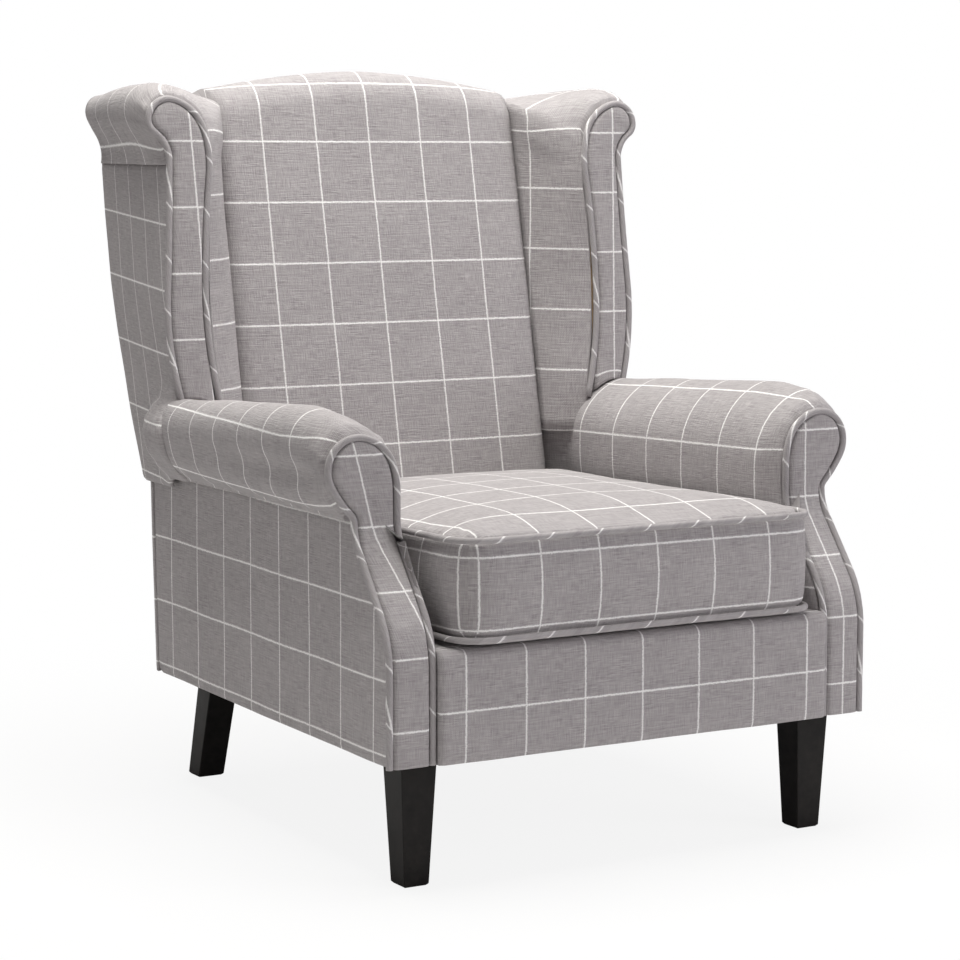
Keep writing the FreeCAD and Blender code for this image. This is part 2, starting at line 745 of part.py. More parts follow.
pinch = seam_pinch
step = seam_pinch - 1
underside = cushion_part([(-30, deck_z), (-12, deck_z + 3.5), (-pinch, seam_low)])
boxing = cushion_part([(-pinch, seam_low), (-1, seam_low + step), (3, seam_mid - 18),
                       (3, seam_mid + 18), (-1, seam_high - step), (-pinch, seam_high)])
crown_rings = []
for grow, rise in ((-pinch, 0), (-12, 0.25), (-32, 0.52), (-80, 0.8), (-190, 1.0)):
    crown_rings.append((grow, seam_high + rise * cushion_crown))
cushion = boxing.fuse([underside, cushion_part(crown_rings)])


def cushion_piping(z):
    points = chords(cushion_outline(z, seam_out), 0.2)
    return octagon_tube(points[:-1], True, V(0, 0, 1))


slot_y = cushion_rear - zip_slot - 2
slot = box(-zip_len / 2 - 6, zip_len / 2 + 6, slot_y, cushion_rear + 20,
           seam_mid - zip_w / 2 - 3, seam_mid + zip_w / 2 + 3)
cushion = cushion.cut(slot)
add("cushion", tilt_seat(cushion))
add("cushion_piping_top", tilt_seat(cushion_piping(seam_high)))
add("cushion_piping_bottom", tilt_seat(cushion_piping(seam_low)))

tape = box(-zip_len / 2, zip_len / 2, slot_y, slot_y + zip_t, seam_mid - zip_w / 2, seam_mid + zip_w / 2)
teeth = box(-zip_len / 2 + 4, zip_len / 2 - 4, slot_y + zip_t, slot_y + zip_t + teeth_t,
            seam_mid - teeth_w / 2, seam_mid + teeth_w / 2)
add("zip", tilt_seat(tape.fuse(teeth)))
slider_x = zip_len / 2 - 16
sy = slot_y + zip_t + slide_fit
slider = box(slider_x - 6, slider_x + 6, sy, sy + 2.6, seam_mid - 5, seam_mid + 5)
channel = box(slider_x - 7, slider_x + 7, sy - 1, sy + teeth_t, seam_mid - teeth_w / 2 - slide_fit,
              seam_mid + teeth_w / 2 + slide_fit)
pull = box(slider_x - 3, slider_x + 3, sy + 1.6, sy + 3.2, seam_mid - 14, seam_mid + 2)
add("zip_slider", tilt_seat(slider.fuse(pull).cut(channel)))

# The origin goes under the middle of the whole chair, then every piece is written out

front_most = cushion_front - seam_out - piping_r
rear_most = rear_y(crest_z - crest_fall - 6)
mid_y = (front_most + rear_most) / 2
for name in sorted(nodes):
    shape = nodes[name].copy()
    shape.translate(V(0, -mid_y, 0))
    shape.exportStep("parts/" + name + ".step")
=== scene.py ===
import math

import bmesh
import bpy
from mathutils import Matrix, Vector, noise


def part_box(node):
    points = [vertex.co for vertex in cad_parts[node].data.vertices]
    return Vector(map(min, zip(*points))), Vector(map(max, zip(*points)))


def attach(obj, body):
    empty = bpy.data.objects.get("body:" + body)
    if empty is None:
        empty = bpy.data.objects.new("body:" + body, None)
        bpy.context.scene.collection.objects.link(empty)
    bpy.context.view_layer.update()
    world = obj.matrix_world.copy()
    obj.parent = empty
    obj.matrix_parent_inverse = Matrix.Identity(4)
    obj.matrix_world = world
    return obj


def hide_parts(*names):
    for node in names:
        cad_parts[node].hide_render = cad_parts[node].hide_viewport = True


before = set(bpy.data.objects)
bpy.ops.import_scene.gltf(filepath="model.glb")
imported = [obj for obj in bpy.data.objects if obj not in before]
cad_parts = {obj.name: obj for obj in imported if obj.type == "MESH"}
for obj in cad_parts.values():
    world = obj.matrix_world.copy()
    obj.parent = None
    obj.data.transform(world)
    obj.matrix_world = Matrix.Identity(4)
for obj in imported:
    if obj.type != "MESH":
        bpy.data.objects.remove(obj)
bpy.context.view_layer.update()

# The studio: a pale floor that fades into a white room, a broad soft lamp overhead, a
# weaker one in front on the chair's left, and the camera at the photograph's height.

studio = bpy.context.scene
studio.view_settings.view_transform = "Standard"


class Wiring:
    """The nodes of a material or a group; a value is numbers or another node's output."""

    def __init__(self, tree):
        self.tree = tree

    def feed(self, node, values):
        """Gives sockets of a node their values; three numbers make an opaque colour."""
        for name, value in values.items():
            socket = node.inputs[name]
            if isinstance(value, bpy.types.NodeSocket):
                self.tree.links.new(value, socket)
            elif socket.type == "RGBA":
                socket.default_value = (*value, 1)
            else:
                socket.default_value = value

    def add(self, kind, values=None, **options):
        """A new node, its options set and its sockets given their values."""
        node = self.tree.nodes.new("ShaderNode" + kind)
        for name, choice in options.items():
            setattr(node, name, choice)
        self.feed(node, values or {})
        return node

    def place(self):
        """Where a point lies on its own piece."""
        return self.add("TexCoord").outputs["Object"]

    def math(self, kind, *values):
        """One step of arithmetic."""
        return self.add("Math", dict(enumerate(values)), operation=kind).outputs[0]

    def times(self, *values):
        """One value times another, and a third added where there is one."""
        return self.math("MULTIPLY_ADD" if len(values) > 2 else "MULTIPLY", *values)

    def blend(self, share, a, b, kind="MIX"):
        """One colour over another."""
        values = {0: share, 6: a, 7: b}
        return self.add("Mix", values, data_type="RGBA", blend_type=kind).outputs[2]

    def cloud(self, place, scale, detail=2.0, rough=0.5):
        """The height of an uneven pattern at a place."""
        values = {"Vector": place, "Scale": scale, "Detail": detail, "Roughness": rough}
        return self.add("TexNoise", values).outputs[0]


def new_material(name):
    """A material, the wiring of its nodes, its shader and the socket of its surface."""
    material = bpy.data.materials.new(name)
    material.use_nodes = True
    material.node_tree.nodes.clear()
    wire = Wiring(material.node_tree)
    shader = wire.add("BsdfPrincipled")
    surface = wire.add("OutputMaterial", {0: shader.outputs[0]})
    return material, wire, shader, surface


def shown(name, data):
    """A new object in the studio."""
    thing = bpy.data.objects.new(name, data)
    studio.collection.objects.link(thing)
    return thing


floor_sheet = bpy.data.meshes.new("floor")
floor_sheet.from_pydata([(-12, -12, 0), (12, -12, 0), (12, 12, 0), (-12, 12, 0)], [], [(0, 1, 2, 3)])
shown("floor", floor_sheet)
floor_paint, wire, shader, surface = new_material("floor_paint")
wire.feed(shader, {"Base Color": (0.86, 0.86, 0.86), "Roughness": 0.9})
glow = wire.add("Emission", {"Strength": 1.0})
far = wire.add("VectorMath", {0: wire.place()}, operation="LENGTH")
fade = wire.add("MapRange", {"Value": far.outputs["Value"], "From Min": 0.5, "From Max": 1.5,
                             "To Min": 0.88, "To Max": 1.0}, interpolation_type="SMOOTHSTEP")
reach = wire.times(wire.add("LightPath").outputs["Is Camera Ray"], fade.outputs[0])
pale = wire.add("MixShader", {0: reach, 1: shader.outputs[0], 2: glow.outputs[0]})
wire.feed(surface, {0: pale.outputs[0]})
floor_sheet.materials.append(floor_paint)

room = bpy.data.worlds.new("room")
studio.world = room
room.use_nodes = True
room.node_tree.nodes.clear()
wire = Wiring(room.node_tree)
seen = wire.add("LightPath").outputs["Is Camera Ray"]
tint = wire.blend(seen, (1.0, 0.955, 0.965), (1.0, 1.0, 1.0))
level = wire.add("MapRange", {"Value": seen, "To Min": 0.26, "To Max": 1.0})
sky = wire.add("Background", {"Color": tint, "Strength": level.outputs[0]})
wire.add("OutputWorld", {0: sky.outputs[0]})


def soft_lamp(name, place, aim, size, watts, colour):
    lamp = bpy.data.lights.new(name, "AREA")
    lamp.shape = "SQUARE"
    lamp.size = size
    lamp.energy = watts
    lamp.color = colour
    holder = shown(name, lamp)
    holder.location = place
    holder.rotation_euler = (Vector(aim) - Vector(place)).to_track_quat("-Z", "Y").to_euler()


soft_lamp("lamp_above", (-0.12, 0.0, 2.9), (0, 0, 0.5), 1.9, 98, (1.0, 0.99, 0.95))
soft_lamp("lamp_front", (2.7, -3.1, 1.4), (0, 0, 0.5), 1.8, 42, (0.95, 0.93, 1.0))

camera_data = bpy.data.cameras.new("camera")
camera_data.sensor_width = 36.0
camera_data.lens = 105.73
camera_data.shift_x = -0.0271
camera_data.shift_y = -0.022
camera = shown("camera", camera_data)
camera.location = (-2.0111, -3.4736, 0.9425)
toward = Vector((0, 0.3 - 0.42466, 0.5)) - camera.location
camera.rotation_euler = (toward.to_track_quat("-Z", "Y").to_matrix()
                         @ Matrix.Rotation(math.radians(0.184), 3, "Z")).to_euler()
studio.camera = camera

# The legs: four square tapered hardwood legs, black satin lacquer, the rear pair raked.
# Each hangs on a bolt in its corner block; the lacquer is rubbed a little along the edges.

front_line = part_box("front_leg_left")[0][1] + 0.005
hands = ((1, "left"), (-1, "right"))    # which way along x each side of the chair lies


def at(x, y, z):
    """A point in the scene from millimetres off the middle, behind the front feet and up."""
    return Vector((x / 1000, front_line + y / 1000, z / 1000))


def effect(name, inputs, outputs):
    """A shader node group with named inputs, (name, kind, value), and named number outputs."""
    group = bpy.data.node_groups.new(name, "ShaderNodeTree")
    for label, kind, value in inputs:
        made = group.interface.new_socket(label, in_out="INPUT", socket_type="NodeSocket" + kind)
        if value is not None:
            made.default_value = value
    for label in outputs:
        group.interface.new_socket(label, in_out="OUTPUT", socket_type="NodeSocketFloat")
    return (group, Wiring(group), group.nodes.new("NodeGroupInput").outputs,
            group.nodes.new("NodeGroupOutput"))


def note_wear(mesh, rub):
    """Notes in a mesh how rubbed each of its points is, from 0 to 1."""
    wear = mesh.attributes.new("rub", "FLOAT", "POINT").data
    for i, value in enumerate(rub):
        wear[i].value = value


def skin(name, points, faces, cloth=None, rub=None):
    """A smooth mesh; cloth gives the place on the cloth, rub the wear, of every point."""
    mesh = bpy.data.meshes.new(name)
    mesh.from_pydata(points, [], faces)
    if cloth:
        layer = mesh.uv_layers.new(name="cloth").data
        for loop in mesh.loops:
            layer[loop.index].uv = cloth[loop.vertex_index]
    if rub:
        note_wear(mesh, rub)
    mesh.polygons.foreach_set("use_smooth", [True] * len(mesh.polygons))
    turned = bmesh.new()
    turned.from_mesh(mesh)
    bmesh.ops.recalc_face_normals(turned, faces=turned.faces)
    turned.to_mesh(mesh)
    turned.free()
    return shown(name, mesh)


def painted(piece, material):
    piece.data.materials.clear()
    piece.data.materials.append(material)


def fitted(piece, body, material, finish, *nodes):
    """The piece takes its material, rides on its body and stands for its solids."""
    painted(piece, material)
    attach(piece, body)
    if nodes:
        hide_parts(*nodes)
    return piece


edge_wear, wire, given, result = effect(
    "edge_wear", [("Place", "Vector", None), ("Rub", "Float", 0.0), ("Amount", "Float", 0.5)],
    ["Wear"])
patches = wire.cloud(given["Place"], 60, 4, 0.6)
worn = wire.times(wire.math("POWER", given["Rub"], 2.0), patches)
worn = wire.times(worn, given["Amount"])
wire.feed(result, {"Wear": wire.math("MINIMUM", worn, 1.0)})


def worn_edges(wire, amount):
    """The wear noted in a mesh's points, broken up into patches."""
    rub = wire.add("Attribute", attribute_name="rub").outputs["Fac"]
    values = {"Place": wire.place(), "Rub": rub, "Amount": amount}
    return wire.add("Group", values, node_tree=edge_wear).outputs["Wear"]


def relief(wire, shader, height, strength, depth):
    """Raises and sinks a surface by a pattern's height, depth metres at the most."""
    bump = wire.add("Bump", {"Height": height, "Strength": strength, "Distance": depth})
    wire.feed(shader, {"Normal": bump.outputs[0]})


lacquer, wire, shader, _ = new_material("black_lacquer")
wear = worn_edges(wire, 0.7)
stretch = wire.add("Mapping", {"Vector": wire.place(), "Scale": (1, 1, 0.06)})
grain = wire.cloud(stretch.outputs[0], 420, 4, 0.6)
shade = wire.blend(grain, (0.0025, 0.0025, 0.0027), (0.005, 0.005, 0.0055))
gloss = wire.times(wire.cloud(wire.place(), 25), 0.12, 0.30)
wire.feed(shader, {"Base Color": wire.blend(wear, shade, (0.045, 0.040, 0.036)),
                   "Roughness": wire.times(wear, 0.3, gloss),
                   "Specular IOR Level": 0.14})
relief(wire, shader, grain, 0.12, 0.0004)


def leg(name, x, y, foot, top, rake, side):
    """Square taper between a foot and a top, each (width, depth), with eased edges."""
    sheet = bmesh.new()
    height = 167.0
    corners = []
    for w, d, z, back in ((foot[0], foot[1], 0.0, rake), (top[0], top[1], height, 0.0)):
        for sx, sy in ((-1, -1), (1, -1), (1, 1), (-1, 1)):
            corners.append(sheet.verts.new(at(side * x + sx * w / 2, y + back + sy * d / 2, z)))
    sheet.faces.new(corners[3::-1])
    sheet.faces.new(corners[4:])
    for k in range(4):
        m = (k + 1) % 4
        sheet.faces.new((corners[k], corners[m], corners[m + 4], corners[k + 4]))
    ends = [e for e in sheet.edges if abs(e.verts[0].co.z - e.verts[1].co.z) < 0.001]
    bmesh.ops.bevel(sheet, geom=[e for e in ends if e.verts[0].co.z < 0.01], offset=0.003,
                    segments=1, affect="EDGES")
    upright = [e for e in sheet.edges if abs(e.verts[0].co.z - e.verts[1].co.z) > 0.05]
    bmesh.ops.bevel(sheet, geom=upright, offset=0.0016, segments=3, profile=0.6, affect="EDGES")
    mesh = bpy.data.meshes.new("black_" + name)
    sheet.to_mesh(mesh)
    sheet.free()
    note_wear(mesh, [1.0 if v.co.z < 0.004 else 0.75 for v in mesh.vertices])
    fitted(shown("black_" + name, mesh), "chair", lacquer, "leg_black", name)


for side, hand in hands:
    leg("front_leg_" + hand, 309.0, 20.0, (36, 36), (52, 50), 0.0, side)
    leg("rear_leg_" + hand, 267.5, 670.0, (41, 36), (44, 44), 51.0, side)

# The frame inside: sawn hardwood rails and posts, corner blocks and bolts.
# It is all covered, so its solids stay as drawn and only take the look of planed timber.

timber, wire, shader, _ = new_material("sawn_hardwood")
stretch = wire.add("Mapping", {"Vector": wire.place(), "Scale": (0.5, 0.5, 3.0)})
rings = wire.add("TexWave", {"Vector": stretch.outputs[0], "Scale": 9, "Distortion": 7, "Detail": 3})
pores = wire.cloud(wire.place(), 260, 3)
shade = wire.blend(rings.outputs["Fac"], (0.50, 0.34, 0.20), (0.64, 0.47, 0.30))
wire.feed(shader, {"Base Color": wire.blend(0.3, shade, pores, "MULTIPLY"),
                   "Roughness": wire.times(pores, 0.2, 0.55)})
relief(wire, shader, pores, 0.3, 0.0005)

zinc, wire, shader, _ = new_material("zinc_plate")
spangle = wire.cloud(wire.place(), 300, 3)
wire.feed(shader, {"Base Color": wire.blend(spangle, (0.50, 0.51, 0.53), (0.66, 0.67, 0.69)),
                   "Roughness": wire.times(spangle, 0.25, 0.3), "Metallic": 1.0})

webbing, wire, shader, _ = new_material("elastic_webbing")
ribs = wire.add("TexWave", {"Vector": wire.place(), "Scale": 260}).outputs["Fac"]
wire.feed(shader, {"Base Color": wire.blend(ribs, (0.05, 0.045, 0.04), (0.16, 0.14, 0.12)),
                   "Roughness": wire.times(ribs, 0.1, 0.8)})

for name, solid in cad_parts.items():
    stem = name.replace("_left", "").replace("_right", "")
    if stem.endswith(("_rail", "_post", "_block")):
        painted(solid, timber)
    elif stem.endswith("_bolt"):
        painted(solid, zinc)
    elif stem.startswith("webbing"):
        painted(solid, webbing)

# The front rail: the checked cloth drawn tight over a padded rail and turned in under it.
# The cloth is a mid grey slub weave with thin white lines that make a windowpane check.

pane = 88.5         # mm from one upright white line to the next
rise = 92.0         # mm from one level white line to the next
hem_line = 164.0    # mm from the floor to where the cloth turns in under the frame

slub_weave, wire, given, result = effect(
    "slub_weave", [("Cloth", "Vector", None), ("Threads", "Float", 78.0), ("Slubs", "Float", 0.5)],
    ["Shade", "Height"])
across, upward, _ = wire.add("SeparateXYZ", {0: given["Cloth"]}).outputs


def slub(u_scale, v_scale, shift):
    """Long thin streaks, as uneven threads make them."""
    pair = wire.add("CombineXYZ", {0: wire.times(across, u_scale),
                                   1: wire.times(upward, v_scale), 2: shift})
    return wire.cloud(pair.outputs[0], 1.0, 2.0, 0.55)


weft = slub(5.0, 62.0, 0.0)
warp = slub(62.0, 5.0, 7.0)
long_weft = slub(1.6, 34.0, 3.0)
patchy = slub(1.3, 1.3, 11.0)
full_turn = wire.times(given["Threads"], math.pi)
over = wire.math("SINE", wire.times(across, full_turn))
under = wire.math("SINE", wire.times(upward, full_turn))
knots = wire.times(over, under)
strong = wire.times(slub(4.0, 4.0, 17.0), 7.0, -1.9)
streaks = wire.times(wire.math("SUBTRACT", weft, 0.5), strong)
streaks = wire.times(wire.math("SUBTRACT", warp, 0.5), 1.5, streaks)
streaks = wire.times(wire.math("SUBTRACT", long_weft, 0.5), 1.0, streaks)
streaks = wire.times(streaks, given["Slubs"])
tone = wire.times(knots, 0.07, streaks)
tone = wire.math("ADD", tone, wire.times(patchy, 0.35, -0.175))
height = wire.times(knots, 0.35, wire.times(streaks, 1.6))
wire.feed(result, {"Shade": wire.math("ADD", tone, 0.5), "Height": height})

white_lines, wire, given, result = effect(
    "white_lines", [("Cloth", "Vector", None), ("Width", "Float", 0.024)], ["Line"])
across, upward, _ = wire.add("SeparateXYZ", {0: given["Cloth"]}).outputs
waver = wire.cloud(given["Cloth"], 9.0, 3.0, 0.6)
fine = wire.cloud(given["Cloth"], 60.0, 2.0, 0.6)


def line_mask(place):
    """White where a whole number of panes falls, uneven as a slub yarn is."""
    moved = wire.math("ADD", wire.times(waver, 0.022, place), 0.489)
    off = wire.math("ABSOLUTE", wire.math("SUBTRACT", wire.math("FRACT", moved), 0.5))
    half = wire.times(given["Width"], wire.times(fine, 2.0, -0.45))
    values = {"Value": off, "From Min": wire.times(half, 1.5),
              "From Max": wire.times(half, 0.6)}
    return wire.add("MapRange", values, interpolation_type="SMOOTHSTEP").outputs[0]


upright = wire.times(line_mask(across), 0.86)
wire.feed(result, {"Line": wire.math("MAXIMUM", upright, line_mask(upward))})


def cloth_material(name, tones, white, threads, slubs, width=0.024):
    """Woven cloth laid by the piece's own cloth map: tones are its dark and light grey."""
    material, wire, shader, _ = new_material(name)
    laid = wire.add("UVMap", uv_map="cloth").outputs[0]
    values = {"Cloth": laid, "Threads": threads, "Slubs": slubs}
    weave = wire.add("Group", values, node_tree=slub_weave).outputs
    shade = wire.blend(weave["Shade"], *tones)
    height = weave["Height"]
    if white:
        line = wire.add("Group", {"Cloth": laid, "Width": width}, node_tree=white_lines).outputs["Line"]
        shade = wire.blend(line, shade, white)
        height = wire.times(line, 0.5, height)
    shade = wire.blend(worn_edges(wire, 0.5), shade, tuple(0.35 + 0.65 * c for c in tones[1]))
    wire.feed(shader, {"Base Color": shade,
                       "Roughness": wire.times(weave["Shade"], -0.15, 0.97),
                       "Specular IOR Level": 0.25, "Sheen Weight": 0.12, "Sheen Roughness": 0.6})
    relief(wire, shader, height, 0.55, 0.0007)
    return material


check_cloth = cloth_material("check_cloth", ((0.285, 0.265, 0.270), (0.475, 0.450, 0.452)),
                             (0.90, 0.89, 0.88), 78.0, 0.85)


def covered(piece, *solids):
    """A piece of the chair in the checked cloth, fitted in place of its solids."""
    return fitted(piece, "chair", check_cloth, "check_fabric", *solids)


def lerp(a, b, share):
    return a + (b - a) * share


def smooth(value, low, high):
    """0 below low, 1 above high, an S between."""
    share = min(1.0, max(0.0, (value - low) / (high - low)))
    return share * share * (3 - 2 * share)


def unevenness(point, size, seed=0.0):
    """Between -1 and 1, changing over about size mm, the same on every run."""
    return noise.noise(Vector(point) * (1000.0 / size) + Vector((seed, 3.1 * seed, 1.7)))


def rippled(piece, depth, size, seed=0.0):
    """Moves every point a little along its normal: cloth over padding is never flat."""
    moves = [v.normal * (unevenness(v.co, size, seed) * depth / 1000) for v in piece.data.vertices]
    for v, move in zip(piece.data.vertices, moves):
        v.co += move
    return piece


def panel(name, tall, wide, thick, lay, *given):
    """A padded panel of tall by wide points: lay gives each point of its face, the point's
    place on the cloth and its wear; the flat back lies thick (a vector) behind the face."""
    laid = [lay(i, k, *given) for i in range(tall) for k in range(wide)]
    points, places, wear = (list(column) for column in zip(*laid))
    count = len(points)
    faces = []
    for i in range(tall - 1):
        for k in range(wide - 1):
            a, b, c, d = i * wide + k, i * wide + k + 1, (i + 1) * wide + k + 1, (i + 1) * wide + k
            faces.append((a, b, c, d))
            faces.append((count + d, count + c, count + b, count + a))
    rim = ([k for k in range(wide)] + [i * wide + wide - 1 for i in range(1, tall)]
           + [(tall - 1) * wide + k for k in range(wide - 2, -1, -1)]
           + [i * wide for i in range(tall - 2, 0, -1)])
    for k, a in enumerate(rim):
        b = rim[(k + 1) % len(rim)]
        faces.append((b, a, count + a, count + b))
    rub = wear + wear if any(wear) else None
    return skin(name, points + [p + thick for p in points], faces, places + places, rub)


def front_rail(i, k):
    x = lerp(-300.5, 300.5, k / 96)
    run = i / 48 * 170.0        # up the face and over the rounded top edge
    edge = min(1.0, (300.5 - abs(x)) / 9.0)
    if run < 133.0:
        y, z = -45.0, hem_line + run
    elif run < 150.3:
        turn = (run - 133.0) / 11.0
        y, z = -45.0 + 11.0 * (1 - math.cos(turn)), 297.0 + 11.0 * math.sin(turn)
    else:
        y, z = -34.0 + (run - 150.3), 308.0
    swell = 1.5 * math.sin(math.pi * min(1.0, run / 140.0)) ** 0.6 * edge ** 0.5
    tuck = 3.0 * (1 - edge) ** 2
    hem = 1.6 * (1 - smooth(run, 0.0, 7.0))
    return at(x, y - swell + tuck + hem, z), ((x - 1.0) / pane, (run - 66.0) / rise), 0.0


rail_cover = panel("front_rail_cloth", 49, 97, Vector((0, 0.011, 0)), front_rail)
covered(rippled(rail_cover, 0.6, 70, 1.0), "front_rail_cover")

# The outside arms: the checked cloth stretched flat over card from the seam under the arm
# roll to the hem, blind-stitched along the piping and round the rear corner.


def arm_front(z):
    """How far back the front edge of the arm lies at a height: upright, swept, upright."""
    if z <= 284.0:
        return -36.0
    if z <= 359.1:
        return 86.0 - math.sqrt(122.0 ** 2 - (z - 284.0) ** 2)
    if z < 427.5:
        return lerp(-10.1, 43.3, (z - 359.1) / 68.4)
    if z < 464.4:
        return -4.0 + math.sqrt(max(0.0, 60.0 ** 2 - (464.4 - z) ** 2))
    return 56.0


def chair_back(z):
    """How far back the outside back lies at a height: upright, a long curve, a slope."""
    if z <= 446.0:
        return lerp(728.0, 740.0, (z - 164.0) / 282.0)
    if z <= 906.0:
        t = (z - 446.0) / 460.0
        return 740.0 + 153.0 * t + 66.0 * (t - t * t)
    return 893.0 + 0.19 * (z - 906.0)


def side_of_arm(y):
    return 363.5 - 7.0 * smooth(y, 100, 745) - 12.5 * max(0.0, (y + 60) / 805.0)


def outside_arm(i, k, side):
    top = 465.5
    z = lerp(hem_line, top, i / 46)
    front = arm_front(z) + 5.0
    rear = chair_back(z)
    y = lerp(front, rear - 6.0, k / 110)
    near = min(k, 110 - k) / 110 * (rear - front)
    edge = min(1.0, near / 10.0)
    high = min(1.0, (top - z) / 7.0)
    hem = 1.0 - smooth(z, hem_line, 171.0)
    x = side_of_arm(y) - 5.0 * (1 - edge) ** 2 - 4.5 * (1 - high) ** 2 - 1.2 * hem
    x = x + 1.2 * unevenness((y / 1000, z / 1000, side), 160, 4.0)
    lift = 0.0                  # the hem rises a little at the rear corner
    if z < 182.0 and y > rear - 26.0:
        lift = 9.0 * smooth(y, rear - 26.0, rear - 6.0) * (182.0 - z) / 18.0
    laid = ((y - 16.5) / 92.2, (z - 178.0 + 0.5 * math.sin(y / 37.0)) / 94.0)
    return at(side * x, y, z + lift), laid, (1 - edge) * 0.6 + hem * 0.5


for side, hand in hands:
    arm_cloth = panel("outside_arm_cloth_" + hand, 47, 111, Vector((-side * 0.010, 0, 0)), outside_arm,
                      side)
    covered(rippled(arm_cloth, 0.5, 60, 2.0 + side), "outside_arm_" + hand)

# The arm rolls: one cloth from the seat up the inside of the arm, over the padded roll and
# down to the seam under it, its fullness gathered in small pleats where it meets the front.


def tangent_arcs(points, heading, step=4.0):
    """Points along arcs that run on from each other through the given ones, in a plane."""
    path = [points[0]]
    h = math.radians(heading)
    for (a0, b0), (a1, b1) in zip(points, points[1:]):
        turn = 2 * (math.atan2(b1 - b0, a1 - a0) - h)
        turn = 2 * math.atan2(math.sin(turn / 2), math.cos(turn / 2))
        reach = math.hypot(a1 - a0, b1 - b0)
        if abs(turn) < 0.002:
            count = max(1, round(reach / step))
            for i in range(count):
                path.append((lerp(a0, a1, (i + 1) / count), lerp(b0, b1, (i + 1) / count)))
        else:
            radius = reach / (2 * math.sin(turn / 2))
            count = max(2, round(abs(radius * turn) / step))
            for i in range(count):
                way = h + turn * (i + 1) / count
                path.append((a0 - radius * math.sin(h) + radius * math.sin(way),
                             b0 + radius * math.cos(h) - radius * math.cos(way)))
        h += turn
    return path


def measured(path):
    """How far along a line each of its points lies."""
    runs = [0.0]
    for p, q in zip(path, path[1:]):
        runs.append(runs[-1] + math.dist(p, q))
    return runs


def evened(path, count):
    """The same line through count points at equal distances, and its length."""
    runs = measured(path)
    result = []
    i = 0
    for k in range(count):
        want = runs[-1] * k / (count - 1)
        while i < len(runs) - 2 and runs[i + 1] < want:
            i += 1
        span = runs[i + 1] - runs[i]
        share = (want - runs[i]) / span if span > 0 else 0.0
        result.append(tuple(lerp(a, b, share) for a, b in zip(path[i], path[i + 1])))
    return result, runs[-1]


def along(stops, place):
    """The value at a place between (place, value) stops, with soft turns."""
    for (p, a), (q, b) in zip(stops, stops[1:]):
        if place <= q:
            share = max(0.0, (place - p) / (q - p))
            return lerp(a, b, share * share * (3 - 2 * share) * 0.5 + share * 0.5)
    return stops[-1][1]


def closed_skin(name, rings, cloth=None, rub=None, endless=False):
    """A skin round rings of points, its two ends closed with a face each or joined."""
    count = len(rings[0])
    points = [p for ring in rings for p in ring]
    places = [c for ring in cloth for c in ring] if cloth else None
    faces = []
    for i in range(len(rings) if endless else len(rings) - 1):
        j = (i + 1) % len(rings)
        for k in range(count):
            m = (k + 1) % count
            faces.append((i * count + k, i * count + m, j * count + m, j * count + k))
    if not endless:
        faces.append(tuple(range(count)))
        faces.append(tuple((len(rings) - 1) * count + k for k in range(count)))
    return skin(name, points, faces, places, rub)


crest_rise = ((65.0, 0.0), (77.0, 12.0), (113.0, 21.0), (170.0, 25.5), (400.0, 14.0), (560.0, 3.0),
              (607.0, 2.5))
roll_width = ((65.0, 0.0), (77.0, 2.0), (400.0, 2.0), (560.0, -2.0), (607.0, -5.0))
roll_rear = 640.0   # mm back to where the roll meets the wing
seam_back = 9.3     # mm from the edge of a front back to the seam behind its piping


def roll_line(y):
    """The roll's cloth at one distance back, from the seat up, over and under, 72 points."""
    lift = along(crest_rise, y)
    grow = along(roll_width, y)
    full = 12.0 * smooth(y, 68.0, 105.0)
    rear = 1.0 - smooth(y, 575.0, 640.0)
    thin = 34.0 * (1 - rear)
    full = full * rear
    over = [(297.0 - full, 495.0), (303.5 - 0.5 * full, 535.0 + 0.5 * lift), (357.0, 574.5 + lift),
            (407.5 + grow - thin, 533.0), (402.0 + grow - thin, 507.0),
            (376.0 + grow / 2 - thin / 3, 471.0), (372.0 - thin / 3, 465.0)]
    inside = [(297.0 - full * smooth(k, 6, 15), 300.0 + 195.0 * k / 17) for k in range(17)]
    over, length = evened(tangent_arcs(over, 90.0, 3.0), 55)
    return inside + over, length


def pleat(around, fan, folds, sway, shift, beat):
    """How far small folds, which fan out from a piping, stand up at a share around a roll."""
    fold = math.sin(around * folds + sway * math.sin(around * 17.0) + shift)
    return fan * (max(0.0, fold) ** 1.2 - 0.45) * (0.6 + 0.4 * math.sin(around * beat))


def moved_out(x, z, middle, by):
    """A point of a roll's cloth moved straight away from the roll's middle."""
    away = max(1.0, math.dist((x, z), middle))
    return x + (x - middle[0]) / away * by, z + (z - middle[1]) / away * by


